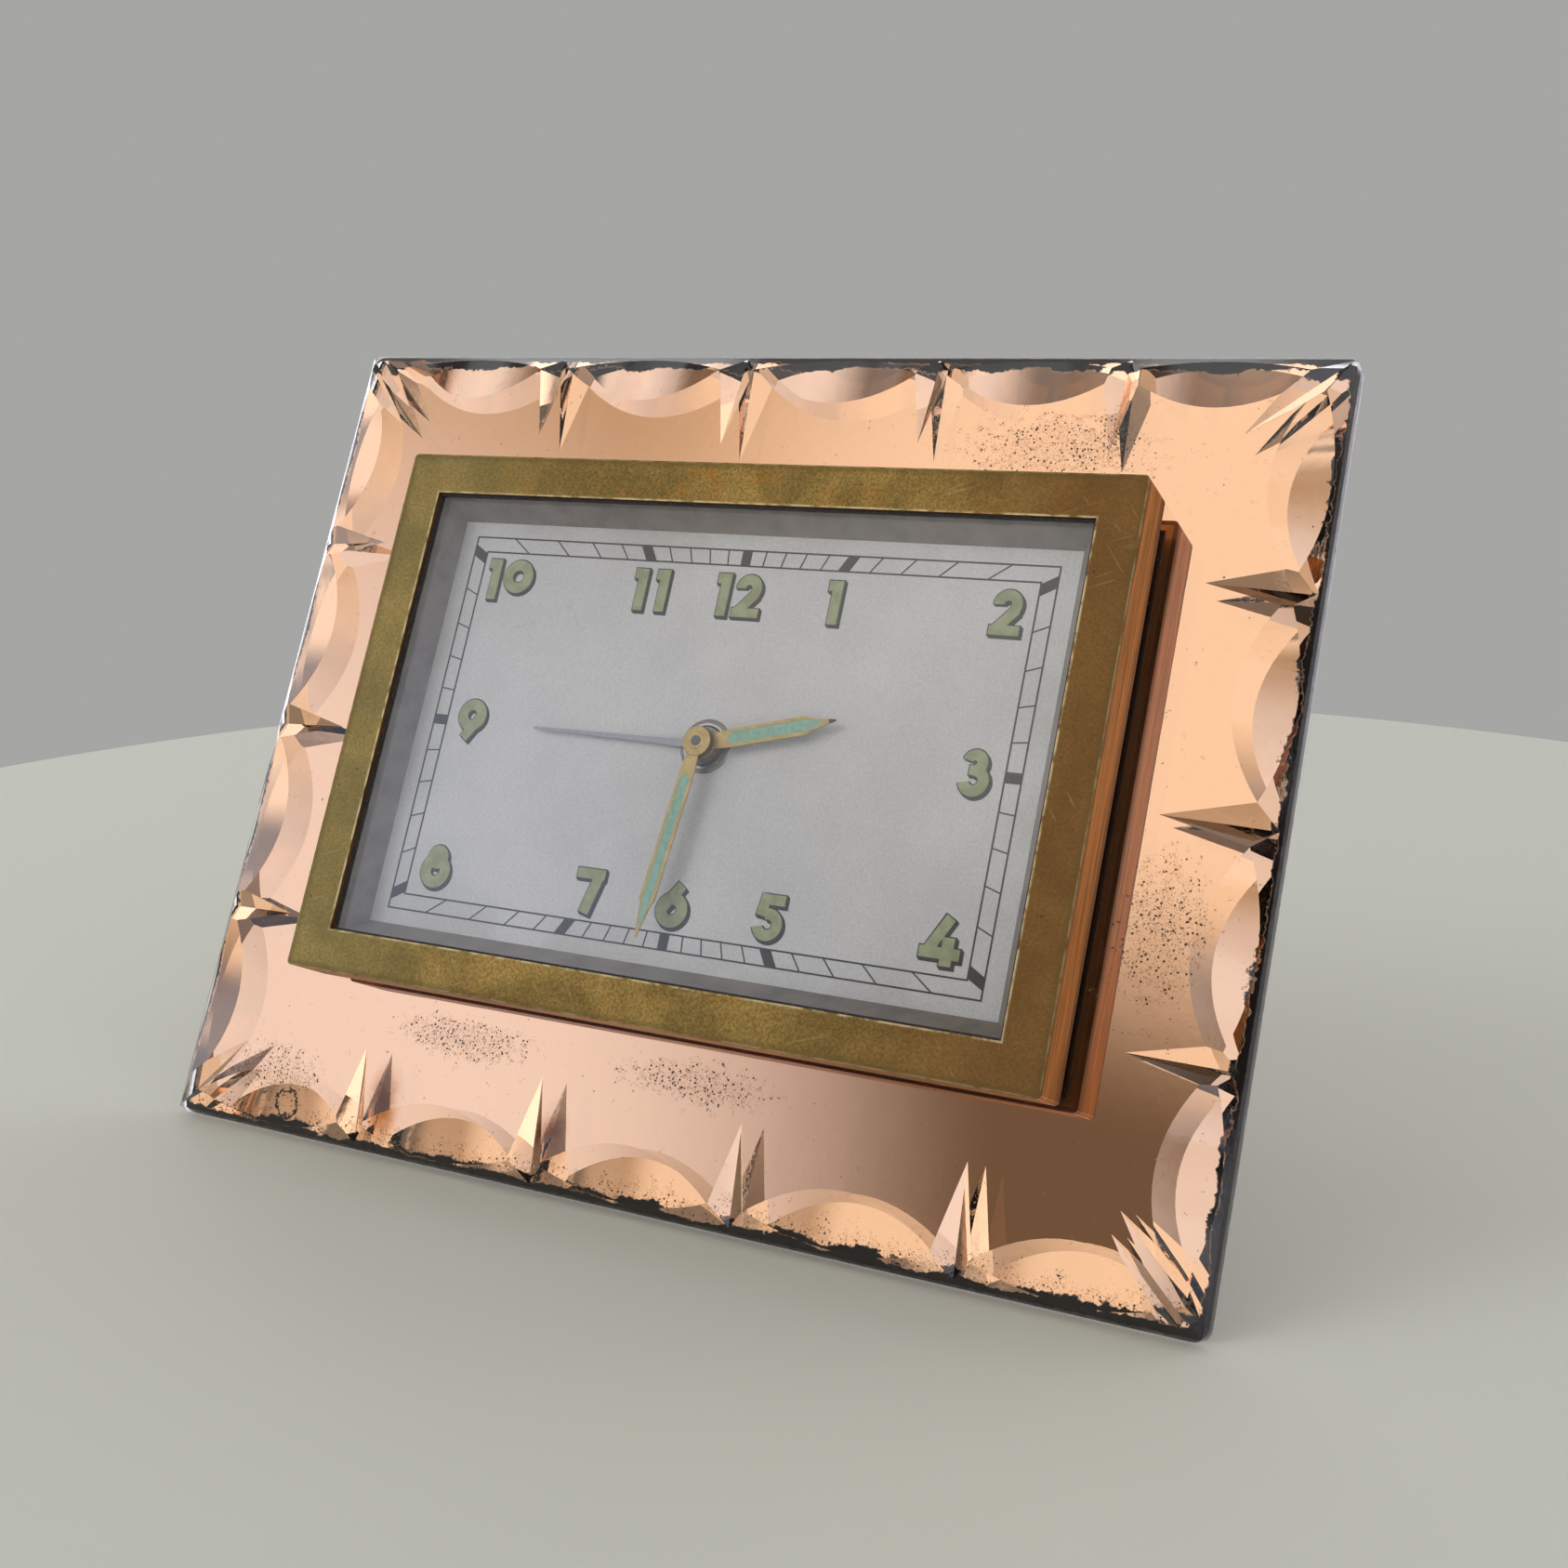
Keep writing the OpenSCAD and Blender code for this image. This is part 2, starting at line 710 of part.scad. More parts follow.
module front_plate() {
    color([0.76, 0.62, 0.3]) cased() {
        plate_blank(plate_front) {
            circle(r = cannon_r + fit);
            for (p = [time_at, alarm_at]) translate(p) circle(r = cannon_r + fit);
            translate([-28, 8]) circle(r = 6);
            translate([0, -32]) circle(r = 4.5);
        }
        rod(-1.2, plate_front + eps, post_r, minute_at);
    }
}

module rear_plate() {
    color([0.76, 0.62, 0.3]) cased() {
        plate_blank(rear_in) {
            circle(r = centre_r + fit);
            for (p = [time_at, alarm_at]) translate(p) circle(r = winding_r + fit);
            translate(balance_at) arc_band(regulator_arm + 1.1, regulator_arm - 1.1, 50, 130);
            translate([-28, 8]) circle(r = 6);
            translate([0, -32]) circle(r = 4.5);
        }
        rod(hairspring_y - 0.4, rear_in + eps, 0.5, balance_at + [6.4, 0]);
    }
}

module pillars() {
    color([0.74, 0.6, 0.3]) cased() for (p = pillar_at) {
        rod(plate_in, rear_in, 2.5, p);
        rod(plate_front, rear_out + 2.5, screw_r, p);
    }
}

cup_d = 2.5;

module balance_bearings() {
    color([0.6, 0.62, 0.66]) cased() {
        difference() {
            rod(plate_front, plate_in + cup_d, 2.2, balance_at);
            cone(plate_in + cup_d - 1.2, plate_in + cup_d + eps, 0.1, 1.4, balance_at);
        }
        difference() {
            rod(rear_in - 0.6, rear_out, 2.2, balance_at);
            cone(rear_in - 0.6 - eps, rear_in + 0.4, 1.2, 0.1, balance_at);
        }
    }
}

// A flat spiral of strip of thickness t, from radius r0 out to r1
module spiral(r0, r1, turns, t, start = 0) {
    steps = ceil(turns * 20);
    function at(i) = r0 + (r1 - r0) * i / steps;
    polygon(concat(
        [for (i = [0:steps]) polar(at(i) + t / 2, start + i * 18)],
        [for (i = [steps:-1:0]) polar(at(i) - t / 2, start + i * 18)]));
}

module mainspring(at, y0) {
    color([0.35, 0.38, 0.45]) cased() slab(y0, y0 + spring_h) translate(at)
        spiral(winding_r + 0.6, spring_r, 9, 0.4);
}

module time_mainspring() { mainspring(time_at, spring_y); }
module alarm_mainspring() { mainspring(alarm_at, alarm_spring_y); }

module hairspring() {
    color([0.4, 0.45, 0.6]) cased() slab(hairspring_y, hairspring_y + 0.7) translate(balance_at)
        spiral(1.5, 5.8, 9, 0.14);
}

// Teeth as clock wheels have them: straight flanks below the pitch circle, pointed tips
function tooth(n, m, wide, tip, root, i, phase) =
    let (
        r = m * n / 2, step = 360 / n, a = phase + i * step, h = wide * step / 2,
        out = r + tip * m, low = r - root * m
    )
    [
        polar(low, a - h * 1.04), polar(r, a - h), polar(r + tip * m * 0.55, a - h * 0.62),
        polar(out, a - h * 0.2), polar(out, a + h * 0.2), polar(r + tip * m * 0.55, a + h * 0.62),
        polar(r, a + h), polar(low, a + h * 1.04)
    ];

module toothed(n, m, phase, wide, tip, root) {
    polygon([for (i = [0:n - 1]) each tooth(n, m, wide, tip, root, i, phase)]);
}

wheel_wide = 0.46;
leaf_wide = 0.38;

module wheel_teeth(n, m, phase) { toothed(n, m, phase, wheel_wide, 1.05, 1.3); }
module pinion_teeth(n, m, phase) { toothed(n, m, phase, leaf_wide, 0.7, 1.5); }

// Phase of gear b so that it meshes with gear a, with b in direction turn from a
function meshed(n_a, phase_a, n_b, turn) =
    turn + 180 - (0.5 - (turn - phase_a) * n_a / 360) * 360 / n_b;

module crossings(r_out, r_in, count) {
    for (i = [0:count - 1]) arc_band(r_out, r_in, i * 360 / count + 9, (i + 1) * 360 / count - 9);
}

great_phase = meshed(centre_leaves, 0, great_n, great_turn);
third_leaf_phase = meshed(centre_n, 0, leaves, third_turn);
fourth_leaf_phase = meshed(third_n, 0, leaves, fourth_turn);
escape_leaf_phase = meshed(fourth_n, 0, leaves, escape_turn);
minute_phase = meshed(cannon_n, 0, minute_n, minute_turn);
hour_phase = meshed(minute_leaves, 0, hour_n, minute_turn + 180);
set_phase = meshed(alarm_n, 0, alarm_set_n, -90);
alarm_leaf_phase = meshed(great_n, 0, alarm_leaves, ring_turn);

// The centre arbor carries the cannon pinion in front and the set knob behind
centre_r = 1.2;

module centre_arbor() {
    color([0.62, 0.64, 0.68]) cased() {
        rod(minute_y - 0.35, 2, arbor_r);
        rod(2, plate_in + endshake, cannon_r);
        rod(plate_in + endshake, plate_in + endshake + 0.2, 2);
        rod(plate_in + endshake, knob_y + 3, centre_r);
        rod(centre_collar_y, centre_collar_y + 0.7, 2.2);
        rod(rear_in - endshake - 0.4, rear_in - endshake, 2);
    }
}

// The centre wheel and its pinion share a pipe that slips on the arbor when the hands are set
module centre_wheel() {
    color([0.74, 0.66, 0.42]) cased() difference() {
        union() {
            rod(centre_pipe_y, centre_collar_y - endshake, 2);
            slab(centre_y, centre_y + fine_t) difference() {
                wheel_teeth(centre_n, m_third, 0);
                crossings(9.8, 3.6, 4);
            }
            slab(time_wheel_y - 0.3, time_wheel_y + wheel_t + 0.3)
                pinion_teeth(centre_leaves, m_motion, 0);
        }
        rod(centre_pipe_y - 1, centre_collar_y, centre_r + fit);
    }
}

module cannon_pinion() {
    color([0.72, 0.62, 0.35]) cased() {
        slab(0.6, 1.8) difference() {
            pinion_teeth(cannon_n, m_motion, 0);
            circle(r = arbor_r);
        }
        ring(minute_y + hand_t, 0.6, cannon_r, arbor_r);
    }
}

// A hand's outline points up: neck, body, a step at the shoulder, and a long point
module hand_outline(len, neck, body, shoulder, step) {
    polygon([
        [-neck, 1.2], [-body * 0.95, 5.2], [-body, shoulder], [-body + step, shoulder + 0.5],
        [-0.12, len], [0.12, len],
        [body - step, shoulder + 0.5], [body, shoulder], [body * 0.95, 5.2], [neck, 1.2]
    ]);
}

module hand_window(len, start, wide, shoulder, end) {
    polygon([
        [-wide, start + wide], [-wide, shoulder], [-0.2, end], [0.2, end], [wide, shoulder],
        [wide, start + wide]
    ]);
    translate([0, start + wide]) circle(r = wide - 0.02);
}

minute_shoulder = minute_len - 6.6;
hour_shoulder = hour_len - 5.4;

module minute_window() {
    hand_window(minute_len, 6, 0.88, minute_shoulder, minute_len - 2.2);
}

module hour_window() {
    hand_window(hour_len, 5.3, 1.08, hour_shoulder, hour_len - 2.4);
}

module minute_hand() {
    color([0.78, 0.62, 0.3]) cased() {
        slab(minute_y, minute_y + hand_t) difference() {
            union() {
                rotate(-minute_angle) difference() {
                    hand_outline(minute_len, 1, 1.5, minute_shoulder, 0.42);
                    minute_window();
                }
                circle(r = 2.4);
            }
            circle(r = arbor_r);
        }
        ring(minute_y + hand_t, hour_y - 0.3, 1.95, cannon_r);
    }
}

module minute_lume() {
    color([0.5, 0.75, 0.62]) cased() slab(minute_y + 0.05, minute_y + hand_t)
        rotate(-minute_angle) minute_window();
}

module set_knob() {
    color([0.75, 0.6, 0.3]) cased() slab(knob_y, knob_y + 5) difference() {
        toothed(24, 0.46, 0, 0.55, 0.5, 0.4);
        circle(r = centre_r);
    }
}

module minute_wheel() {
    color([0.76, 0.64, 0.36]) cased() difference() {
        union() {
            slab(0.6, 1.8) translate(minute_at) difference() {
                wheel_teeth(minute_n, m_motion, minute_phase);
                crossings(7, 3.6, 3);
            }
            slab(-1, 0.6 + eps) translate(minute_at) pinion_teeth(minute_leaves, m_hour, 0);
        }
        rod(-2, 3, post_r + fit, minute_at);
    }
}

module hour_wheel() {
    color([0.76, 0.64, 0.36]) cased() difference() {
        union() {
            slab(-1, 0.2) difference() {
                wheel_teeth(hour_n, m_hour, hour_phase);
                crossings(7.6, 3.8, 3);
            }
            rod(hour_y, -1, hour_pipe_r);
        }
        rod(hour_y - 1, 1, cannon_r + fit);
    }
}

module hour_hand() {
    color([0.78, 0.62, 0.3]) cased() {
        slab(hour_y, hour_y + hand_t) difference() {
            union() {
                rotate(-hour_angle) difference() {
                    hand_outline(hour_len, 1.3, 1.7, hour_shoulder, 0.5);
                    hour_window();
                }
                circle(r = 2.9);
            }
            circle(r = hour_pipe_r);
        }
        ring(hour_y + hand_t, alarm_y - 0.2, 2.6, hour_pipe_r);
    }
}

module hour_lume() {
    color([0.5, 0.75, 0.62]) cased() slab(hour_y + 0.05, hour_y + hand_t)
        rotate(-hour_angle) hour_window();
}

module alarm_wheel() {
    color([0.76, 0.64, 0.36]) cased() difference() {
        union() {
            slab(-2.6, -1.6) difference() {
                wheel_teeth(alarm_n, m_motion, 0);
                crossings(12.4, 4.6, 4);
            }
            rod(alarm_y, -1.6, alarm_pipe_r);
        }
        rod(alarm_y - 1, 0, hour_pipe_r + fit);
    }
}

module alarm_hand() {
    color([0.78, 0.78, 0.8]) cased() {
        slab(alarm_y, alarm_y + hand_t * 0.8) difference() {
            union() {
                rotate(-alarm_angle)
                    polygon([[-0.75, 2], [-0.5, 12], [-0.22, alarm_len], [0.22, alarm_len], [0.5, 12], [0.75, 2]]);
                circle(r = 3.3);
            }
            circle(r = alarm_pipe_r);
        }
        ring(alarm_y + hand_t * 0.8, dial_y - 0.2, 3.1, alarm_pipe_r);
    }
}

module alarm_set_arbor() {
    color([0.7, 0.68, 0.6]) cased() {
        rod(-2.6, knob_y + 3, 1.1, set_at);
        slab(-2.6, -1.6) translate(set_at) wheel_teeth(alarm_set_n, m_motion, set_phase);
    }
}

module alarm_set_knob() {
    color([0.75, 0.6, 0.3]) cased() slab(knob_y, knob_y + 4) translate(set_at) difference() {
        toothed(20, 0.44, 0, 0.55, 0.5, 0.4);
        circle(r = 1.1);
    }
}

// A great wheel runs free on its winding arbor. Its click turns on a stud on the wheel, and
// the ratchet on the arbor turns with the key.
module great_wheel(at, y0, phase, click_turn) {
    color([0.76, 0.64, 0.36]) cased() {
        slab(y0, y0 + wheel_t) translate(at) difference() {
            wheel_teeth(great_n, m_motion, phase);
            circle(r = winding_r + fit);
            rotate(45) crossings(12.6, 8.7, 4);
        }
        rod(y0, y0 + wheel_t + 0.3 + ratchet_t, stud_r, at + polar(click_r, click_turn));
    }
}

stud_r = 0.55;
time_click_turn = 150;
alarm_click_turn = -60;

module time_great_wheel() { great_wheel(time_at, time_wheel_y, great_phase, time_click_turn); }
module alarm_great_wheel() { great_wheel(alarm_at, alarm_wheel_y, 0, alarm_click_turn); }

ratchet_n = 14;

module ratchet() {
    polygon([for (i = [0:ratchet_n - 1]) each [
        polar(ratchet_r, i * 360 / ratchet_n), polar(ratchet_r - 1, i * 360 / ratchet_n + 3)]]);
}

module winding_arbor(at, ratchet_y) {
    color([0.62, 0.64, 0.68]) cased() {
        rod(plate_front, plate_in + endshake, cannon_r, at);
        rod(plate_in + endshake, key_y + 6, winding_r, at);
        slab(ratchet_y, ratchet_y + ratchet_t) translate(at) ratchet();
    }
}

module time_winding_arbor() { winding_arbor(time_at, time_ratchet_y); }
module alarm_winding_arbor() { winding_arbor(alarm_at, alarm_ratchet_y); }

module click(at, y0, turn) {
    color([0.55, 0.57, 0.62]) cased() slab(y0, y0 + ratchet_t) translate(at) rotate(turn)
        translate([click_r, 0]) difference() {
            union() {
                circle(r = 1.2);
                rotate(132) translate([0, -0.5]) square([4.6, 1]);
            }
            circle(r = stud_r + fit);
        }
}

module time_click() { click(time_at, time_ratchet_y, time_click_turn); }
module alarm_click() { click(alarm_at, alarm_ratchet_y, alarm_click_turn); }

// A winding key with two rounded wings
key_reach = 8.5;

module key(at) {
    color([0.76, 0.6, 0.28]) cased() difference() {
        union() {
            rod(key_y, key_y + 9, 3, at);
            slab(key_y + 3, key_y + 12) translate(at) panel(2 * key_reach - 4, 1.4);
            for (side = [-1, 1]) translate([at[0] + side * (key_reach - 4), key_y + 7.5, at[1]])
                cylinder(h = 1.4, r = 4.5, center = true);
        }
        rod(key_y - 1, key_y + 6, winding_r, at);
    }
}

module time_key() { key(time_at); }
module alarm_key() { key(alarm_at); }

// Wheels of the going train: a pinion and a wheel on one arbor
module train_arbor(at) {
    rod(plate_front, rear_out, pivot_r, at);
    rod(plate_in + endshake, rear_in - endshake, 0.9, at);
}

module third_wheel() {
    color([0.74, 0.66, 0.42]) cased() {
        train_arbor(third_at);
        slab(centre_y - 0.2, centre_y + fine_t + 0.2) translate(third_at)
            pinion_teeth(leaves, m_third, third_leaf_phase);
        slab(third_y, third_y + fine_t) translate(third_at) difference() {
            wheel_teeth(third_n, m_fine, 0);
            crossings(9.2, 3, 4);
        }
    }
}

module fourth_wheel() {
    color([0.74, 0.66, 0.42]) cased() {
        train_arbor(fourth_at);
        slab(third_y - 0.2, third_y + fine_t + 0.2) translate(fourth_at)
            pinion_teeth(leaves, m_fine, fourth_leaf_phase);
        slab(fourth_y, fourth_y + fine_t) translate(fourth_at) difference() {
            wheel_teeth(fourth_n, m_fine, 0);
            crossings(9.2, 3, 4);
        }
    }
}

escape_r = 6.4;

module pointed_teeth(n, r, root, back) {
    polygon([for (i = [0:n - 1]) each [
        polar(root, i * 360 / n - back), polar(r, i * 360 / n), polar(root, i * 360 / n + 3)]]);
}

module escape_wheel() {
    color([0.74, 0.66, 0.42]) cased() {
        train_arbor(escape_at);
        slab(fourth_y - 0.2, fourth_y + fine_t + 0.2) translate(escape_at)
            pinion_teeth(leaves, m_fine, escape_leaf_phase);
        slab(escape_y, escape_y + 0.6) translate(escape_at) difference() {
            pointed_teeth(escape_n, escape_r, escape_r - 2, 16);
            crossings(3.6, 1.8, 3);
        }
    }
}

// The lever reaches from its two pallet pins, over the escape wheel, to the fork
fork_len = norm(balance_at - lever_at) - 1.6;

module pallet_lever() {
    color([0.6, 0.62, 0.66]) cased() {
        train_arbor(lever_at);
        slab(lever_y, lever_y + 0.8) translate(lever_at) rotate(lever_turn) difference() {
            union() {
                circle(r = 1.6);
                bar([0, 0], [fork_len, 0], 1.2);
                translate([fork_len - 1.2, 0]) circle(r = 1.5);
                for (side = [-1, 1]) bar([0, 0], [-3, 3.6 * side], 1.1);
            }
            translate([fork_len, 0]) panel(3, 0.8);
        }
        slab(lever_y + 0.8, lever_y + 1.6) translate(lever_at) rotate(lever_turn)
            for (side = [-1, 1]) translate([-2.6, 3.1 * side]) circle(r = 0.3);
    }
}

roller_r = 3.2;
impulse_r = 2.6;
staff_r = 0.8;

module balance_wheel() {
    color([0.78, 0.66, 0.34]) cased() {
        rod(plate_in + cup_d + 0.1, rear_in - 0.7, staff_r, balance_at);
        cone(plate_in + cup_d - 1, plate_in + cup_d + 0.1, 0.08, staff_r, balance_at);
        cone(rear_in - 0.7, rear_in + 0.2, staff_r, 0.08, balance_at);
        slab(balance_y, balance_y + 1.4) translate(balance_at) {
            difference() {
                circle(r = 9.8);
                circle(r = 8.4);
            }
            circle(r = 2.2);
            for (a = [0, 120, 240]) rotate(a) bar([0, 0], [9, 0], 1.2);
        }
        ring(hairspring_y - 0.5, hairspring_y + 0.9, 1.3, staff_r, balance_at);
        rod(balance_y - 0.7, balance_y, roller_r, balance_at);
        rod(lever_y + 1, balance_y - 0.6, 0.35, balance_at - impulse_r * lever_dir);
    }
}

module alarm_escape_wheel() {
    color([0.74, 0.66, 0.42]) cased() {
        train_arbor(alarm_escape_at);
        slab(alarm_wheel_y - 0.2, alarm_wheel_y + wheel_t + 0.2) translate(alarm_escape_at)
            pinion_teeth(alarm_leaves, m_motion, alarm_leaf_phase);
        slab(alarm_escape_y, alarm_escape_y + 0.8) translate(alarm_escape_at)
            pointed_teeth(20, 7, 5.2, 10);
    }
}

// The hammer strikes the inside of the case rim
hammer_y = rear_out + 1;
hammer_turn = 150;

module alarm_hammer() {
    color([0.6, 0.62, 0.66]) cased() {
        rod(plate_front, hammer_y + 1.6, pivot_r, hammer_at);
        rod(plate_in + endshake, rear_in - endshake, 0.9, hammer_at);
        slab(alarm_escape_y + 0.95, alarm_escape_y + 1.9) translate(hammer_at) {
            circle(r = 1.8);
            bar([0, 0], polar(4.2, 170), 1);
            bar([0, 0], polar(4.2, 235), 1);
        }
        slab(hammer_y, hammer_y + 1.2) translate(hammer_at) {
            circle(r = 1.6);
            bar([0, 0], polar(9, -hammer_turn + 60), 1.4);
        }
        translate([hammer_at[0], 0, hammer_at[1]] + [polar(10, -90)[0], hammer_y + 1.8, polar(10, -90)[1]])
            rotate([90, 0, 0]) cylinder(h = 3.6, r = 2.2, center = true);
    }
}

module stop_plunger() {
    color([0.75, 0.6, 0.3]) cased() {
        rod(rear_out + 1.4, rear_out + 2.2, 2.4, stop_at);
        rod(rear_out + 2, cover_out + 5, 1.5, stop_at);
        rod(cover_out + 4, cover_out + 6, 3, stop_at);
    }
}

// The regulator turns on the rear bearing and its pin comes out through the back cover
module regulator() {
    color([0.68, 0.7, 0.74]) cased() {
        slab(regulator_y, regulator_y + 0.7) translate(balance_at) difference() {
            union() {
                circle(r = 3.4);
                bar([0, 0], [0, regulator_arm], 1.6);
            }
            circle(r = 2.2 + fit);
        }
        rod(regulator_y, cover_out + 2, 0.8, balance_at + [0, regulator_arm]);
    }
}

// The strut's bracket is riveted to the back cover; its ears hold the hinge pin
ear_t = 1.5;
ear_gap = 0.2;
bracket_y = cover_out;

module bracket_ear(x) {
    translate([x, 0, 0]) rotate([90, 0, 90]) linear_extrude(ear_t, center = true) difference() {
        union() {
            translate([bracket_y, hinge_z - 3]) square([hinge_y - bracket_y, 6]);
            translate([hinge_y, hinge_z]) circle(r = 3);
        }
        translate([hinge_y, hinge_z]) circle(r = pin_r);
    }
}

module strut_bracket() {
    ear_x = strut_w / 2 + ear_gap + ear_t / 2;
    color([0.58, 0.48, 0.25]) leaned() {
        slab(bracket_y, bracket_y + sheet) translate([0, hinge_z])
            panel(strut_w + 2 * (ear_gap + ear_t), 7);
        for (side = [-1, 1]) {
            bracket_ear(side * ear_x);
            rod(bracket_y, bracket_y + sheet + 0.6, 1.4, [side * rivet_x, hinge_z]);
        }
    }
}

module hinge_pin() {
    half = strut_w / 2 + ear_gap + ear_t + 0.8;
    color([0.65, 0.66, 0.68]) leaned() translate([0, hinge_y, hinge_z]) rotate([0, 90, 0])
        cylinder(h = 2 * half, r = pin_r, center = true);
}

// Places a strut piece: its own x runs down the leg from the hinge to the foot
module strut_place() {
    translate([0, shift + hinge_back, hinge_up]) rotate([strut_angle, 0, 0]) children();
}

// The heel above the hinge meets the bracket, which stops the strut where it stands
heel_w = 1.2;
heel = (hinge_y - cover_out - sheet - 0.03 - heel_w / 2 * cos(strut_angle + lean))
    / sin(strut_angle + lean);
neck_len = 5.6;
lace_r = 5;

module strut() {
    color([0.6, 0.5, 0.26]) strut_place() difference() {
        union() {
            rotate([0, 90, 0]) cylinder(h = strut_w, r = barrel_r, center = true);
            translate([0, strut_t / 2, 0]) rotate([90, 0, 0]) linear_extrude(strut_t) polygon([
                [-strut_w / 2, 0], [strut_w / 2, 0], [strut_w / 2, -neck_len],
                [foot_w / 2, -strut_len], [-foot_w / 2, -strut_len], [-strut_w / 2, -neck_len]]);
            translate([-6, -heel_w / 2, 0]) cube([12, heel_w, heel]);
            for (side = [-1, 1]) rotate([0, side * atan((foot_w - strut_w) / 2 / strut_len) * 0.6, 0])
                translate([side * (strut_w / 2 - 4), -strut_t / 2, -strut_len / 2])
                    cylinder(h = strut_len * 0.7, r = 1.4, center = true);
        }
        rotate([0, 90, 0]) cylinder(h = strut_w + 1, r = pin_r + fit, center = true);
        translate([0, 2, -strut_len * 0.55]) rotate([90, 0, 0]) cylinder(h = 4, r = lace_r);
    }
}

module strut_foot() {
    color([0.12, 0.12, 0.12]) strut_place() translate([0, 0, -strut_len]) difference() {
        rotate([0, 90, 0]) cylinder(h = foot_w + 2, r = foot_r, center = true);
        translate([-foot_w / 2 - 2, -strut_t / 2, 0]) cube([foot_w + 4, strut_t, foot_r + 1]);
    }
}

mirror_plate();
silvering();
bezel();
crystal_seal();
crystal();
reflector();
dial();
dial_print();
numerals();
dial_ferrule();
dial_frame();
case_drum();
felt_rings();
clamp_ring();
back_cover();
cover_screws();
standoff_nuts();
front_plate();
rear_plate();
pillars();
balance_bearings();
time_mainspring();
alarm_mainspring();
hairspring();
strut_bracket();
hinge_pin();
strut();
strut_foot();
centre_arbor();
centre_wheel();
cannon_pinion();
minute_hand();
minute_lume();
set_knob();
minute_wheel();
hour_wheel();
hour_hand();
hour_lume();
alarm_wheel();
alarm_hand();
alarm_set_arbor();
alarm_set_knob();
time_great_wheel();
time_click();
time_winding_arbor();
time_key();
alarm_great_wheel();
alarm_click();
alarm_winding_arbor();
alarm_key();
third_wheel();
fourth_wheel();
escape_wheel();
pallet_lever();
balance_wheel();
alarm_escape_wheel();
alarm_hammer();
stop_plunger();
regulator();
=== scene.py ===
import json
import math

import bpy
from mathutils import Matrix, Vector


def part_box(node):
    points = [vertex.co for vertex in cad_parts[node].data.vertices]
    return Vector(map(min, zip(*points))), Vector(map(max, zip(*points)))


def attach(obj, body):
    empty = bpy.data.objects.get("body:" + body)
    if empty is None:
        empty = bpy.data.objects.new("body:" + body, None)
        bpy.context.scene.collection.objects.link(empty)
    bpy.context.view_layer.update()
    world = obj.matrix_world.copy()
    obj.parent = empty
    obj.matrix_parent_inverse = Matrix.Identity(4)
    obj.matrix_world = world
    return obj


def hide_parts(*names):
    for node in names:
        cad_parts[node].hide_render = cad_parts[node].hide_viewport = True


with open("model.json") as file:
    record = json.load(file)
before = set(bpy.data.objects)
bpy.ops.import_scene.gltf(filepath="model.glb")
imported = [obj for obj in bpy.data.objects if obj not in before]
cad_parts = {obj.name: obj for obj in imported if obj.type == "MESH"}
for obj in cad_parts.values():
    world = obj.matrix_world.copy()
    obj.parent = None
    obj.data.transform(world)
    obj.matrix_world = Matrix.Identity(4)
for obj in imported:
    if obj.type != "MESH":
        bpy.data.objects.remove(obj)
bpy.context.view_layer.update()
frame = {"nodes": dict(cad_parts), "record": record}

nodes = frame["nodes"]

# Sizes of the clock as the solids have them, in millimetres and degrees, on the upright
# clock: x runs right, y back from the front of the glass and z up from its middle
LEAN = 26.0
PLATE_W, PLATE_H, PLATE_T = 203.0, 159.0, 7.0
BEVEL = 4.5
CASE_X, CASE_Z = 1.1, 1.4
BEZEL_W, BEZEL_H = 146.4, 101.0
BEZEL_FRONT = -10.6
OPENING_W, OPENING_H = 131.0, 85.6
DIAL_W, DIAL_H = 124.3, 78.9
FERRULE_R = 4.05
MM_IN_M = 1000

# The middle of the front of the glass, in metres
plate_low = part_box("mirror_plate")[0]
lean = math.radians(LEAN)
rise = (PLATE_H / 2 * math.cos(lean) + PLATE_T * math.sin(lean)) / MM_IN_M
shift = plate_low[1] + (PLATE_H / 2 - BEVEL) / MM_IN_M * math.sin(lean)
plate_middle = Vector((0, shift, rise))
upright_to_leaning = Matrix.Translation(plate_middle) @ Matrix.Rotation(-lean, 4, "X")


def place(x, y, z):
    """A point of the upright clock, in millimetres, where it is on the leaning one."""
    return upright_to_leaning @ Vector((x / MM_IN_M, y / MM_IN_M, z / MM_IN_M))


def deselect():
    bpy.ops.object.select_all(action="DESELECT")


deselect()

# The camera of the photograph, from a fit: pixels, millimetres, radians and metres
PHOTO_SIDE_PX = 1687
FOCAL_LENGTH_PX = 2099.87
SENSOR_W = 36
VIEW_TURN_X, VIEW_TURN_Y, VIEW_TURN_Z = -0.1885, -0.4727, -0.2062
VIEW_OFFSET = Vector((-0.0133, 0.00429, -0.34575))
CLIP_START = 0.01


def photo_camera():
    """The camera where the photograph was taken from."""
    data = bpy.data.cameras.new("camera")
    data.sensor_width = SENSOR_W
    data.lens = FOCAL_LENGTH_PX / PHOTO_SIDE_PX * SENSOR_W
    data.clip_start = CLIP_START
    camera = bpy.data.objects.new("camera", data)
    bpy.context.scene.collection.objects.link(camera)
    turn = (
        Matrix.Rotation(VIEW_TURN_Z, 4, "Z")
        @ Matrix.Rotation(VIEW_TURN_X, 4, "X")
        @ Matrix.Rotation(VIEW_TURN_Y, 4, "Y")
    )
    # The fit has the plate's own axes: right, up and out of the glass
    plate_axes = Matrix(((1, 0, 0, 0), (0, 0, -1, 0), (0, 1, 0, 0), (0, 0, 0, 1)))
    plate_to_view = Matrix.Translation(VIEW_OFFSET) @ turn
    camera.matrix_world = upright_to_leaning @ plate_axes @ plate_to_view.inverted()
    bpy.context.scene.camera = camera


photo_camera()


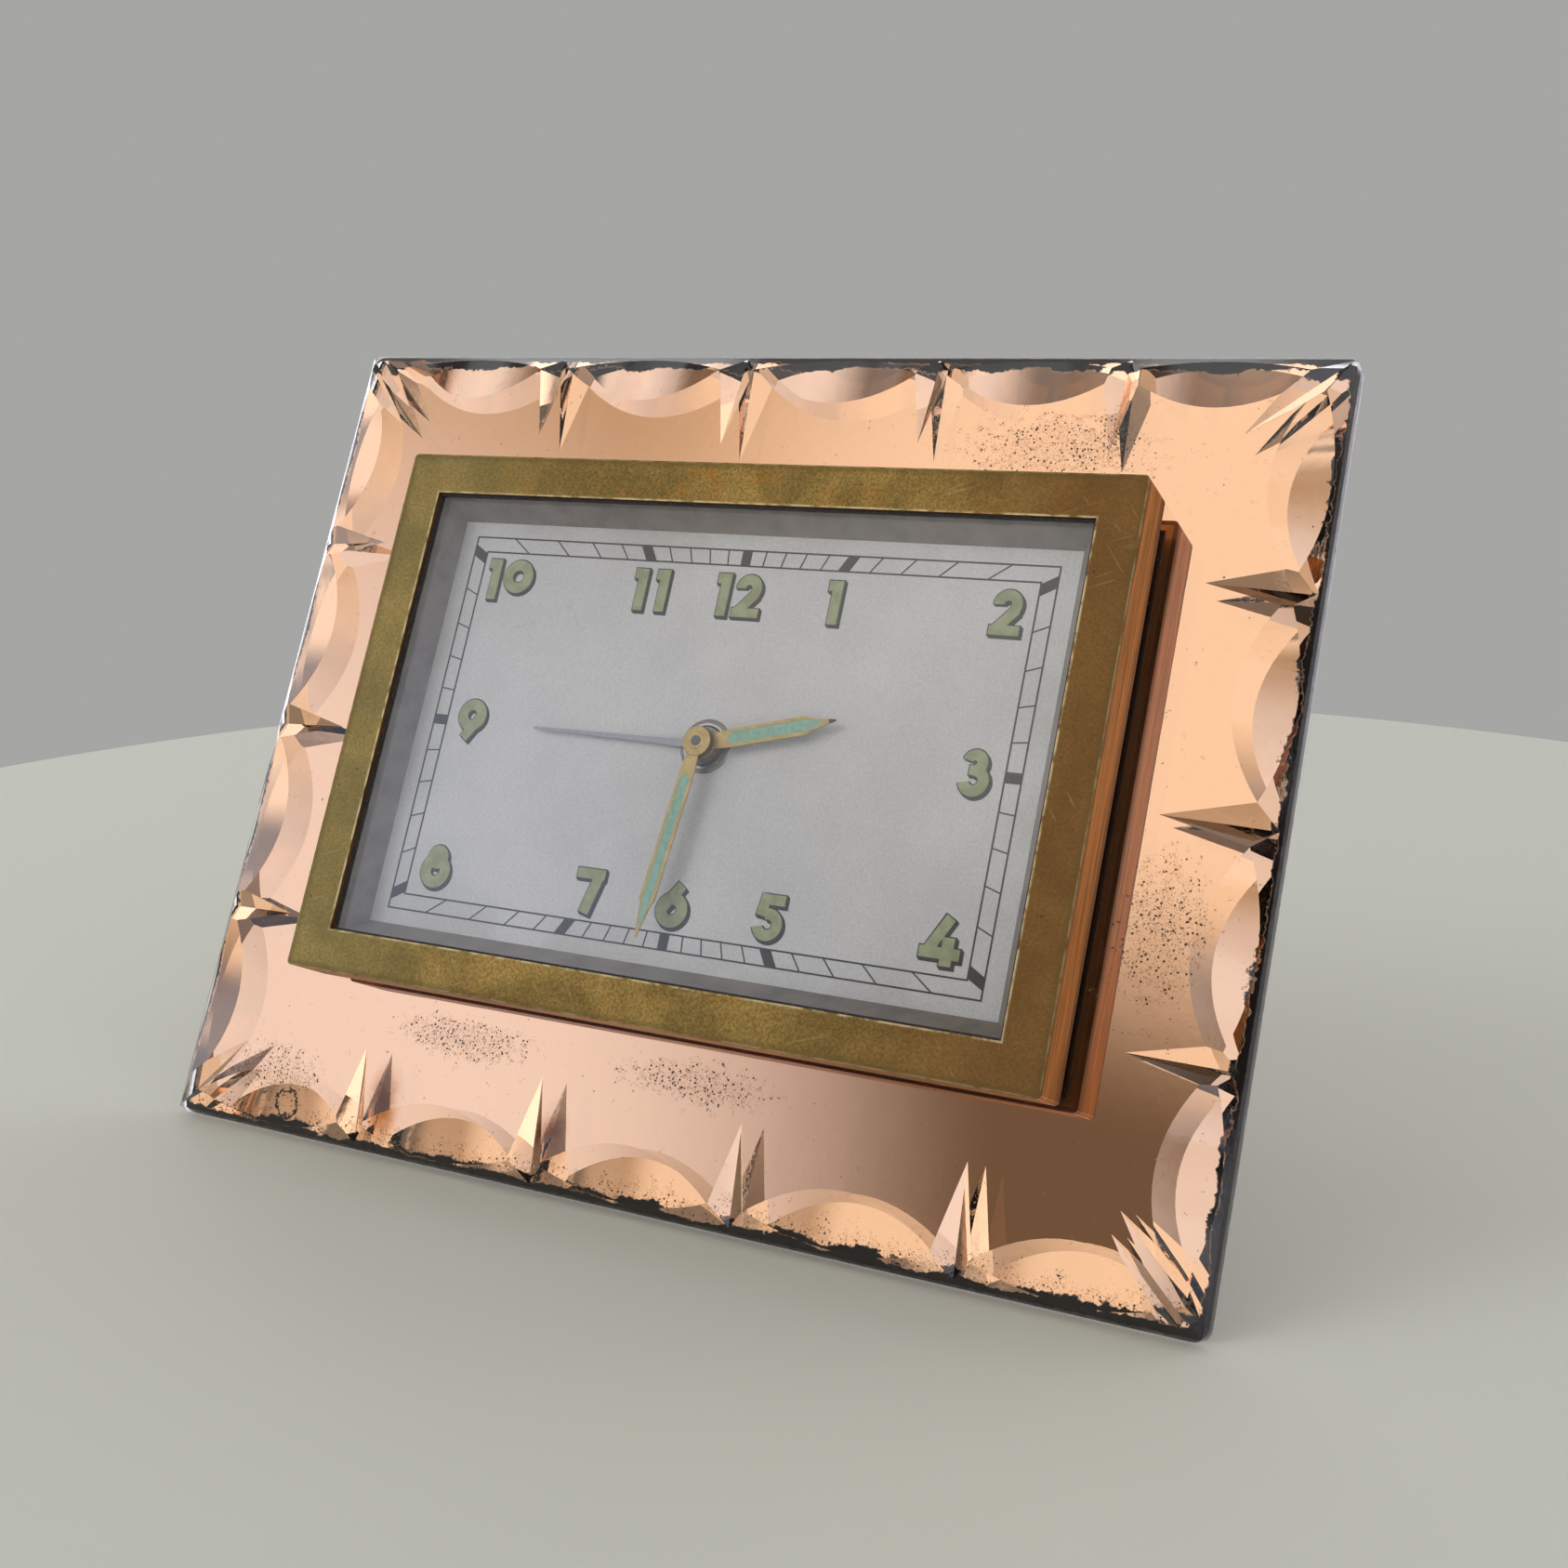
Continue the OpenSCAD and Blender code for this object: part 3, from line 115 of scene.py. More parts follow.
# Shader helpers
class Nodes:
    """Adds nodes to one tree and joins them."""

    def __init__(self, tree):
        self.tree = tree

    def add(self, kind, inputs=(), **settings):
        made = self.tree.nodes.new(kind)
        for key, value in settings.items():
            setattr(made, key, value)
        for key, value in dict(inputs).items():
            self.feed(made.inputs[key], value)
        return made

    def feed(self, socket, value):
        """Links a socket to another, or gives it a value."""
        if isinstance(value, bpy.types.NodeSocket):
            self.tree.links.new(value, socket)
        else:
            socket.default_value = value

    def math(self, operation, a, b=None, c=None, clamp=False):
        made = self.add("ShaderNodeMath", operation=operation, use_clamp=clamp)
        for socket, value in zip(made.inputs, (a, b, c)):
            if value is not None:
                self.feed(socket, value)
        return made.outputs[0]

    def plus(self, a, b):
        return self.math("ADD", a, b)

    def minus(self, a, b):
        return self.math("SUBTRACT", a, b)

    def times(self, a, b):
        return self.math("MULTIPLY", a, b)

    def times_plus(self, a, factor, start):
        """a times factor, plus start."""
        return self.math("MULTIPLY_ADD", a, factor, start)

    def most(self, first, *others):
        """The largest of some values."""
        largest = first
        for value in others:
            largest = self.math("MAXIMUM", largest, value)
        return largest

    def step(self, value, low, high, to_low=0.0, to_high=1.0):
        """Rises smoothly from to_low at low to to_high at high."""
        made = self.add("ShaderNodeMapRange", interpolation_type="SMOOTHSTEP")
        for key, number in (
            ("Value", value),
            ("From Min", low),
            ("From Max", high),
            ("To Min", to_low),
            ("To Max", to_high),
        ):
            self.feed(made.inputs[key], number)
        return made.outputs["Result"]

    def mix(self, share, a, b, blend="MIX"):
        """Colour a, with a share of colour b over it."""
        made = self.add("ShaderNodeMix", data_type="RGBA", blend_type=blend)
        self.feed(made.inputs["Factor"], share)
        self.feed(made.inputs[6], a)
        self.feed(made.inputs[7], b)
        return made.outputs[2]

    def shaded(self, color, shade):
        """A colour made darker or lighter by a factor."""
        return self.mix(1.0, color, self.join(shade, shade, shade), "MULTIPLY")

    def blend(self, share, a, b):
        """Value a, going over to value b with the share."""
        made = self.add("ShaderNodeMix", data_type="FLOAT")
        self.feed(made.inputs["Factor"], share)
        self.feed(made.inputs[2], a)
        self.feed(made.inputs[3], b)
        return made.outputs[0]

    def noise(self, vector, scale, detail=4.0, roughness=0.55, distortion=0.0):
        made = self.add(
            "ShaderNodeTexNoise",
            {
                "Vector": vector,
                "Scale": scale,
                "Detail": detail,
                "Roughness": roughness,
                "Distortion": distortion,
            },
        )
        return made.outputs["Fac"]

    def cells(self, vector, scale):
        """Distance to the nearest of many scattered points."""
        made = self.add("ShaderNodeTexVoronoi", {"Vector": vector, "Scale": scale})
        return made.outputs["Distance"]

    def split(self, vector):
        made = self.add("ShaderNodeSeparateXYZ", {"Vector": vector})
        return made.outputs["X"], made.outputs["Y"], made.outputs["Z"]

    def join(self, x, y, z):
        return self.add("ShaderNodeCombineXYZ", {"X": x, "Y": y, "Z": z}).outputs[0]

    def vector(self, operation, a, b=None):
        """The outputs of one step of vector arithmetic."""
        made = self.add("ShaderNodeVectorMath", operation=operation)
        self.feed(made.inputs[0], a)
        if b is not None:
            self.feed(made.inputs[1], b)
        return made.outputs

    def scaled(self, vector, factors):
        return self.vector("MULTIPLY", vector, factors)["Vector"]


def effect(name, takes, gives):
    """Starts a shader node group with named inputs and outputs."""
    group = bpy.data.node_groups.new(name, "ShaderNodeTree")
    for label, kind, value in takes:
        socket = group.interface.new_socket(label, in_out="INPUT", socket_type=kind)
        if value is not None:
            socket.default_value = value
    for label, kind in gives:
        group.interface.new_socket(label, in_out="OUTPUT", socket_type=kind)
    made = Nodes(group)
    start = made.add("NodeGroupInput")
    end = made.add("NodeGroupOutput")
    return group, made, start.outputs, end.inputs


VECTOR, COLOR, FLOAT = "NodeSocketVector", "NodeSocketColor", "NodeSocketFloat"


def plate_space():
    """Turns object coordinates into millimetres on the upright plate."""
    group, tree, takes, gives = effect(
        "plate_space", [("Vector", VECTOR, None)], [("Vector", VECTOR)]
    )
    upright = Matrix.Rotation(lean, 3, "X")
    moved = tree.add(
        "ShaderNodeMapping",
        {
            "Vector": takes["Vector"],
            "Location": -MM_IN_M * (upright @ plate_middle),
            "Rotation": (lean, 0, 0),
            "Scale": (MM_IN_M, MM_IN_M, MM_IN_M),
        },
    )
    tree.feed(gives["Vector"], moved.outputs["Vector"])
    return group


def tarnish():
    """Mottled old brass: clean metal, a duller bloom over it, and warm brown stains."""
    group, tree, takes, gives = effect(
        "tarnish",
        [
            ("Vector", VECTOR, None),
            ("Clean", COLOR, (0.6, 0.45, 0.18, 1)),
            ("Bloom", COLOR, (0.3, 0.24, 0.08, 1)),
            ("Stain", COLOR, (0.35, 0.14, 0.03, 1)),
            ("Size", FLOAT, 0.08),
            ("Bloom Amount", FLOAT, 0.6),
            ("Stain Amount", FLOAT, 0.3),
        ],
        [("Color", COLOR), ("Roughness", FLOAT), ("Height", FLOAT)],
    )
    where, size = takes["Vector"], takes["Size"]
    clouds = tree.noise(where, size, 8, 0.62, 0.6)
    fine = tree.noise(where, tree.times(size, 14), 6, 0.7)
    spots = tree.noise(where, tree.times(size, 3.1), 7, 0.75, 1.2)
    both = tree.plus(tree.times(clouds, 0.7), tree.times(fine, 0.3))
    bloom = tree.math("MULTIPLY", tree.step(both, 0.38, 0.58), takes["Bloom Amount"], clamp=True)
    stain = tree.math("MULTIPLY", tree.step(spots, 0.52, 0.68), takes["Stain Amount"], clamp=True)
    color = tree.mix(bloom, takes["Clean"], takes["Bloom"])
    color = tree.mix(stain, color, takes["Stain"])
    tree.feed(gives["Color"], tree.shaded(color, tree.step(fine, 0.3, 0.75, 0.82, 1.12)))
    rough = tree.times_plus(bloom, 0.22, 0.24)
    tree.feed(gives["Roughness"], tree.times_plus(fine, 0.12, rough))
    tree.feed(gives["Height"], tree.times_plus(fine, 0.6, tree.times(bloom, 0.4)))
    return group


def scratches():
    """Fine scratches that run in two directions over a surface."""
    group, tree, takes, gives = effect(
        "scratches",
        [("Vector", VECTOR, None), ("Size", FLOAT, 0.3), ("Amount", FLOAT, 0.5)],
        [("Mask", FLOAT)],
    )
    masks = []
    for angle, long_by in ((0.35, 0.04), (-0.9, 0.06)):
        turned = tree.add(
            "ShaderNodeVectorRotate",
            {"Vector": takes["Vector"], "Angle": angle},
            rotation_type="Y_AXIS",
        ).outputs[0]
        stretched = tree.scaled(turned, (long_by, 1, 1))
        lines = tree.noise(stretched, tree.times(takes["Size"], 10), 2, 0.5)
        gaps = tree.noise(takes["Vector"], tree.times(takes["Size"], 0.4), 2)
        masks.append(tree.times(tree.step(lines, 0.66, 0.7), tree.step(gaps, 0.45, 0.6)))
    mask = tree.math("MULTIPLY", tree.most(*masks), takes["Amount"], clamp=True)
    tree.feed(gives["Mask"], mask)
    return group


def grain():
    """Drawn or turned metal: fine lines along one direction."""
    group, tree, takes, gives = effect(
        "grain",
        [("Vector", VECTOR, None), ("Stretch", VECTOR, (1, 1, 1)), ("Size", FLOAT, 4.0)],
        [("Value", FLOAT)],
    )
    stretched = tree.scaled(takes["Vector"], takes["Stretch"])
    tree.feed(gives["Value"], tree.noise(stretched, takes["Size"], 3, 0.6))
    return group


def box_edge():
    """How far a point is inside the nearest side of a flat box round a middle."""
    group, tree, takes, gives = effect(
        "box_edge",
        [
            ("Vector", VECTOR, None),
            ("Middle", VECTOR, None),
            ("Width", FLOAT, 100.0),
            ("Height", FLOAT, 100.0),
        ],
        [("Inside", FLOAT)],
    )
    away = tree.vector("SUBTRACT", takes["Vector"], takes["Middle"])["Vector"]
    x, _, z = tree.split(tree.vector("ABSOLUTE", away)["Vector"])
    beside = tree.minus(tree.times(takes["Width"], 0.5), x)
    above = tree.minus(tree.times(takes["Height"], 0.5), z)
    tree.feed(gives["Inside"], tree.math("MINIMUM", beside, above))
    return group


def far_from():
    """How far a point is from a middle, across the plate, where the reach counts as 1."""
    group, tree, takes, gives = effect(
        "far_from",
        [("Vector", VECTOR, None), ("Middle", VECTOR, None), ("Reach", VECTOR, (1, 1, 1))],
        [("Distance", FLOAT)],
    )
    away = tree.vector("SUBTRACT", takes["Vector"], takes["Middle"])["Vector"]
    in_reaches = tree.vector("DIVIDE", away, takes["Reach"])["Vector"]
    length = tree.vector("LENGTH", tree.scaled(in_reaches, (1, 0, 1)))["Value"]
    tree.feed(gives["Distance"], length)
    return group


PLATE_SPACE = plate_space()
TARNISH = tarnish()
SCRATCHES = scratches()
GRAIN = grain()
BOX_EDGE = box_edge()
FAR_FROM = far_from()

PLATE_MIDDLE = (0, 0, 0)
HAND_AXIS = (CASE_X, 0, CASE_Z)


class Finish(Nodes):
    """A material with a Principled shader, and the upright millimetre coordinates."""

    def __init__(self, name):
        self.material = bpy.data.materials.new(name)
        self.material.use_nodes = True
        super().__init__(self.material.node_tree)
        self.shader = self.tree.nodes["Principled BSDF"]
        coordinates = self.add("ShaderNodeTexCoord").outputs["Object"]
        self.place = self.use(PLATE_SPACE, Vector=coordinates)["Vector"]

    def use(self, group, **takes):
        """The outputs of a shader node group."""
        made = self.add("ShaderNodeGroup")
        made.node_tree = group
        for key, value in takes.items():
            self.feed(made.inputs[key.replace("_", " ")], value)
        return made.outputs

    def far(self, middle, reach=(1, 1, 1)):
        """Distance from a middle, in millimetres or in reaches."""
        return self.use(FAR_FROM, Vector=self.place, Middle=middle, Reach=reach)["Distance"]

    def inside(self, middle, width, height):
        """How far a point is inside a flat box, in millimetres."""
        box = {"Middle": middle, "Width": width, "Height": height}
        return self.use(BOX_EDGE, Vector=self.place, **box)["Inside"]

    def patch(self, x, z, reach_x, reach_z):
        """A soft oval: 1 in its middle and 0 at its reach."""
        return self.step(self.far((x, 0, z), (reach_x, 1, reach_z)), 0.1, 1.0, 1, 0)

    def scratched(self, size, amount):
        return self.use(SCRATCHES, Vector=self.place, Size=size, Amount=amount)["Mask"]

    def set(self, **values):
        """Gives the sockets of the Principled shader their values or links."""
        for key, value in values.items():
            self.feed(self.shader.inputs[key.replace("_", " ")], value)

    def bump(self, height, distance, strength):
        made = self.add(
            "ShaderNodeBump", {"Height": height, "Distance": distance, "Strength": strength}
        )
        self.feed(self.shader.inputs["Normal"], made.outputs["Normal"])

    def clear_to_light(self):
        """Lets lamps shine through glass."""
        clear = self.add("ShaderNodeBsdfTransparent")
        path = self.add("ShaderNodeLightPath")
        both = self.add("ShaderNodeMixShader")
        self.feed(both.inputs[0], path.outputs["Is Shadow Ray"])
        self.feed(both.inputs[1], self.shader.outputs[0])
        self.feed(both.inputs[2], clear.outputs[0])
        self.feed(self.tree.nodes["Material Output"].inputs["Surface"], both.outputs[0])


# Glass and silvering
def plate_glass():
    """Clear old glass, ground along its outline, with waves where the edge was cut."""
    finish = Finish("cut_glass")
    edge = finish.inside(PLATE_MIDDLE, PLATE_W, PLATE_H)
    ground = finish.step(edge, 0.4, 0.7, 1, 0)
    mottle = finish.step(finish.noise(finish.place, 0.9, 6), 0.2, 0.8, 0.3, 0.6)
    finish.set(
        Base_Color=(0.97, 0.965, 0.95, 1),
        Roughness=finish.times(ground, mottle),
        IOR=1.52,
        Transmission_Weight=1.0,
    )
    wave = finish.noise(finish.place, 0.09, 2, 0.4)
    tool_marks = finish.noise(finish.place, 0.55, 3, 0.5)
    near_edge = finish.step(edge, 14, 24, 1, 0.05)
    finish.bump(finish.times_plus(tool_marks, finish.times(near_edge, 0.35), wave), 0.00006, 0.5)
    finish.clear_to_light()
    return finish.material


# Width of the silvering's black border, in millimetres
RIM_RIGHT, RIM_LEFT, RIM_TOP, RIM_FOOT = 3.0, 1.1, 2.8, 2.9
# Damp along the foot, with its strength: full up to one height and gone at the next
FOOT_DAMP, FOOT_DAMP_FULL, FOOT_DAMP_GONE = 0.7, 2, 9
# Where else damp got in: middle x and z, reach in x and z, and strength
DAMP_PATCHES = (
    (52, 62.5, 27, 10, 0.8),
    (62, 65, 5, 9, 1.25),
    (84, -19, 12, 20, 0.85),
    (-40, -56, 22, 6, 0.95),
    (8, -56, 24, 6, 0.8),
    (-80, -69, 16, 9, 0.85),
)
# Rusty stains at two of the cuts along the foot: middle x and z, reach in x and z
RUST_STAINS = ((-54.4, -70, 5, 9), (-17.4, -70, 4, 8))
# One round spot with a black rim, low on the left
RING_SPOT, RING_SPOT_R = (-76.4, 0, -73.3), 2.5
# How far in the cuts of the upper and the lower edge reach, and where those at the sides end
CUTS_REACH, SIDE_CUTS_END = 11, 14


def black_border(finish, x, z, wander, ragged):
    """The ragged black border, with its own width along each side, and the round spot."""
    sides = (
        (finish.minus(PLATE_W / 2, x), RIM_RIGHT),
        (finish.plus(PLATE_W / 2, x), RIM_LEFT),
        (finish.minus(PLATE_H / 2, z), RIM_TOP),
        (finish.plus(PLATE_H / 2, z), RIM_FOOT),
    )
    masks = []
    for inside, width in sides:
        limit = finish.times(finish.step(wander, 0.3, 0.7, 0.75, 1.3), width)
        limit = finish.plus(limit, finish.step(ragged, 0.4, 0.75, -0.15, 0.6))
        masks.append(finish.step(finish.minus(inside, limit), -0.15, 0.15, 1, 0))
    far = finish.plus(finish.far(RING_SPOT), finish.step(ragged, 0.3, 0.7, -0.6, 0.6))
    from_ring = finish.math("ABSOLUTE", finish.minus(far, RING_SPOT_R))
    masks.append(finish.step(from_ring, 0.15, 0.5, 1, 0))
    return finish.most(*masks)


def foxing(finish, z):
    """Specks of lost silver that gather where damp got in, and the brown halo round them."""
    over_foot = finish.plus(PLATE_H / 2, z)
    damp = finish.step(over_foot, FOOT_DAMP_FULL, FOOT_DAMP_GONE, FOOT_DAMP, 0)
    for *oval, strength in DAMP_PATCHES:
        damp = finish.most(damp, finish.times(finish.patch(*oval), strength))
    grit = finish.noise(finish.place, 2.2, 4, 0.75, 0.3)
    clouds = finish.plus(finish.noise(finish.place, 0.55, 4, 0.7), finish.times(damp, 0.38))
    cloudy = finish.step(clouds, 0.62, 0.7)
    blots = finish.step(finish.plus(grit, finish.times(damp, 0.12)), 0.68, 0.72)
    dots = finish.step(finish.cells(finish.place, 1.15), 0.16, 0.28, 1, 0)
    fine = finish.step(finish.cells(finish.place, 2.6), 0.14, 0.26, 0.8, 0)
    pinholes = finish.step(finish.cells(finish.place, 0.16), 0.022, 0.045, 1, 0)
    specks = finish.most(
        finish.times(blots, cloudy),
        finish.times(dots, cloudy),
        finish.times(fine, finish.step(clouds, 0.6, 0.7)),
        finish.times(pinholes, damp),
    )
    halo = finish.times(finish.step(clouds, 0.6, 0.8), finish.step(grit, 0.5, 0.7, 0.1, 0.7))
    return specks, halo


def cut_flutes(finish, y, z):
    """Fine flutes that the cutting wheel left, square to the edge it was cutting."""
    cut = finish.step(y, PLATE_T - 0.35, PLATE_T - 0.1, 1, 0)
    from_middle = finish.math("ABSOLUTE", z)
    upper = finish.step(from_middle, PLATE_H / 2 - SIDE_CUTS_END, PLATE_H / 2 - CUTS_REACH)
    tall = finish.noise(finish.scaled(finish.place, (1.1, 0.1, 0.06)), 1.0, 3, 0.6)
    wide = finish.noise(finish.scaled(finish.place, (0.06, 0.1, 1.1)), 1.0, 3, 0.6)
    return finish.times(finish.blend(upper, wide, tall), cut)


def silvering():
    """Copper-toned silvering, black round the rim and in spots, with paint on its back."""
    copper, brown_halo = (0.93, 0.565, 0.345, 1), (0.5, 0.22, 0.08, 1)
    rust_red, lost = (0.42, 0.13, 0.025, 1), (0.012, 0.008, 0.007, 1)
    back_paint = (0.13, 0.045, 0.03, 1)
    finish = Finish("peach_silvering")
    x, y, z = finish.split(finish.place)
    wander = finish.noise(finish.place, 0.12, 5, 0.6)
    ragged = finish.noise(finish.place, 0.9, 6, 0.7)
    specks, halo = foxing(finish, z)
    gone = finish.most(black_border(finish, x, z, wander, ragged), specks)
    rust = finish.most(*(finish.patch(*stain) for stain in RUST_STAINS))
    rust = finish.times(rust, finish.step(wander, 0.35, 0.6, 0.2, 1))
    silver = finish.mix(halo, copper, brown_halo)
    silver = finish.mix(rust, silver, rust_red)
    silver = finish.mix(gone, silver, lost)
    back = finish.step(y, PLATE_T + 0.08, PLATE_T + 0.12)
    brushed = finish.noise(finish.scaled(finish.place, (1, 1, 0.3)), 0.3, 8, 0.7)
    paint = finish.shaded(back_paint, finish.step(brushed, 0.3, 0.7, 0.86, 1.14))
    finish.set(
        Base_Color=finish.mix(back, silver, paint),
        Metallic=finish.times(finish.minus(1, gone), finish.minus(1, back)),
        Roughness=finish.most(finish.times(gone, 0.5), finish.times(back, 0.55)),
        Specular_IOR_Level=0.05,
    )
    finish.bump(cut_flutes(finish, y, z), 0.00022, 0.9)
    return finish.material


def crystal_glass():
    """Clear flat glass with a few faint smears."""
    finish = Finish("crystal_glass")
    smear = finish.noise(finish.scaled(finish.place, (1, 1, 0.4)), 0.05, 4)
    finish.set(
        Base_Color=(1, 1, 1, 1),
        Roughness=finish.step(smear, 0.55, 0.8, 0.0, 0.03),
        IOR=1.5,
        Transmission_Weight=1.0,
    )
    finish.clear_to_light()
    return finish.material


# Metals
def plain_brass(name, clean, bloom_amount, stain_amount, size=0.12, tip_radius=None):
    """Brass with a duller bloom and some stains, and black past the tip radius of a hand."""
    red, green, blue, _ = clean
    black_past_tip = (0.03, 0.028, 0.025, 1)
    finish = Finish(name)
    old = finish.use(
        TARNISH,
        Vector=finish.place,
        Clean=clean,
        Bloom=(0.55 * red, 0.55 * green, 0.55 * blue, 1),
        Stain=(red * 0.6, green * 0.38, blue * 0.25, 1),
        Size=size,
        Bloom_Amount=bloom_amount,
        Stain_Amount=stain_amount,
    )
    marks = finish.scratched(0.25, 0.35)
    color = finish.mix(marks, old["Color"], clean)
    # Black over the tip of a hand, past the tip radius
    if tip_radius:
        tip = finish.step(finish.far(HAND_AXIS), tip_radius, tip_radius + 0.5)
        color = finish.mix(tip, color, black_past_tip)
    rough = finish.minus(old["Roughness"], finish.times(marks, 0.08))
    finish.set(Base_Color=color, Metallic=0.92, Roughness=rough)
    finish.bump(old["Height"], 0.00003, 0.35)
    return finish.material


def bezel_side(finish, y):
    """Orange-brown streaks along the sides of the bezel, darker at the front and the foot."""
    bright, deep = (0.66, 0.28, 0.045, 1), (0.24, 0.09, 0.018, 1)
    front_shadow, foot_shadow = (0.06, 0.028, 0.012, 1), (0.05, 0.02, 0.01, 1)
    streak = finish.noise(finish.scaled(finish.place, (0.05, 2.2, 0.05)), 1.0, 5, 0.65)
    side = finish.mix(finish.step(streak, 0.36, 0.62), bright, deep)
    side = finish.mix(finish.step(y, BEZEL_FRONT, BEZEL_FRONT + 1.6, 0.8, 0), side, front_shadow)
    return finish.mix(finish.step(y, -3.2, -1.6, 0, 0.7), side, foot_shadow)


def bezel_front(finish, x, z):
    """Colour, roughness and height of the front of the bezel.

    The brass is mottled: greener at the left, browner at the right and orange along the top.
    """
    greenish, brownish = (0.26, 0.235, 0.095, 1), (0.17, 0.075, 0.022, 1)
    pitted, scratched = (0.05, 0.03, 0.012, 1), (0.56, 0.42, 0.17, 1)
    dark_edge, rubbed = (0.13, 0.085, 0.025, 1), (0.66, 0.52, 0.27, 1)
    left, left_end = CASE_X - BEZEL_W / 2, CASE_X - 25
    right_start, right = CASE_X + 25, CASE_X + BEZEL_W / 2 - 6
    top_start, top = CASE_Z + 34, CASE_Z + 46
    leather = finish.noise(finish.place, 1.9, 5, 0.7)
    pits = finish.step(finish.cells(finish.place, 0.5), 0.05, 0.13, 0.85, 0)
    pits = finish.times(pits, finish.step(finish.noise(finish.place, 0.3, 3), 0.5, 0.62))
    outer = finish.inside(HAND_AXIS, BEZEL_W, BEZEL_H)
    inner = finish.inside(HAND_AXIS, OPENING_W, OPENING_H)
    rub = finish.most(finish.step(outer, 0.1, 0.4, 0.3, 0), finish.step(inner, -0.5, -0.1))
    rub = finish.times(rub, finish.step(finish.noise(finish.place, 0.4, 5), 0.35, 0.6))
    old = finish.use(
        TARNISH,
        Vector=finish.place,
        Clean=(0.43, 0.275, 0.075, 1),
        Bloom=(0.21, 0.138, 0.036, 1),
        Stain=(0.42, 0.18, 0.03, 1),
        Size=0.06,
        Bloom_Amount=0.85,
        Stain_Amount=finish.step(z, top_start, top, 0.35, 1.0),
    )
    color = finish.shaded(old["Color"], finish.step(leather, 0.34, 0.66, 0.62, 1.25))
    color = finish.mix(finish.step(x, left, left_end, 0.4, 0), color, greenish)
    color = finish.mix(finish.step(x, right_start, right, 0, 0.75), color, brownish)
    color = finish.mix(pits, color, pitted)
    color = finish.mix(finish.scratched(0.2, 0.22), color, scratched)
    color = finish.mix(finish.step(outer, 0.2, 1.6, 0.5, 0), color, dark_edge)
    color = finish.mix(rub, color, rubbed)
    rough = finish.minus(finish.times_plus(leather, 0.15, 0.36), finish.times(rub, 0.1))
    return color, rough, finish.minus(leather, pits)


def bezel_brass():
    """Olive brass with a fine grain in front, and orange-brown streaks along its sides."""
    finish = Finish("old_bezel_brass")
    x, y, z = finish.split(finish.place)
    color, rough, height = bezel_front(finish, x, z)
    is_side = finish.step(y, BEZEL_FRONT + 0.1, BEZEL_FRONT + 0.3)
    finish.set(
        Base_Color=finish.mix(is_side, color, bezel_side(finish, y)),
        Metallic=finish.blend(is_side, 0.85, 0.72),
        Roughness=rough,
    )
    finish.bump(height, 0.00002, 0.4)
    return finish.material


def steel(name, tone, roughness=0.28, stretch=(1, 0.05, 1)):
    """Metal of one tone with fine lines, which the stretch draws out along an axis."""
    finish = Finish(name)
    lines = finish.use(GRAIN, Vector=finish.place, Stretch=stretch, Size=3.0)["Value"]
    finish.set(
        Base_Color=finish.shaded(tone, finish.step(lines, 0.3, 0.7, 0.85, 1.1)),
        Metallic=1.0,
        Roughness=finish.times_plus(lines, 0.15, roughness - 0.07),
    )
    finish.bump(lines, 0.00002, 0.3)
    return finish.material


def ferrule_nickel():
    """Turned nickel collar: bright steps with painted shade for the grooves between them, and a
    dull flange.
    """
    groove_shade, bright = (0.045, 0.04, 0.036, 1), (0.52, 0.50, 0.48, 1)
    dull = (0.24, 0.225, 0.205, 1)
    finish = Finish("ferrule_nickel")
    far = finish.far(HAND_AXIS)
    wobbly = finish.times_plus(finish.noise(finish.place, 1.5, 3), 0.15, far)
    rings = finish.math("PINGPONG", finish.times(wobbly, 2.2), 1.0)
    # Dark rings of painted shade stand for the turned grooves; the bright steps are the nickel's
    # own tone
    tone = finish.mix(finish.step(rings, 0.2, 0.75), groove_shade, bright)
    tone = finish.mix(finish.step(far, FERRULE_R, FERRULE_R + 0.15), tone, dull)
    finish.set(Base_Color=tone, Metallic=1.0, Roughness=finish.step(rings, 0.2, 0.7, 0.45, 0.25))
    return finish.material


# Paint, ink and soft pieces
def reflector_paint():
    """Grey paint with grime in the sloping reflector."""
    paint, grimy = (0.23, 0.2, 0.165, 1), (0.155, 0.135, 0.11, 1)
    finish = Finish("reflector_grey")
    grime = finish.step(finish.noise(finish.place, 0.18, 6, 0.65), 0.35, 0.7)
    fleck = finish.noise(finish.place, 2.5, 3)
    finish.set(
        Base_Color=finish.mix(grime, paint, grimy),
        Metallic=0.25,
        Roughness=finish.step(fleck, 0.3, 0.7, 0.42, 0.55),
    )
    finish.bump(fleck, 0.00001, 0.4)
    return finish.material


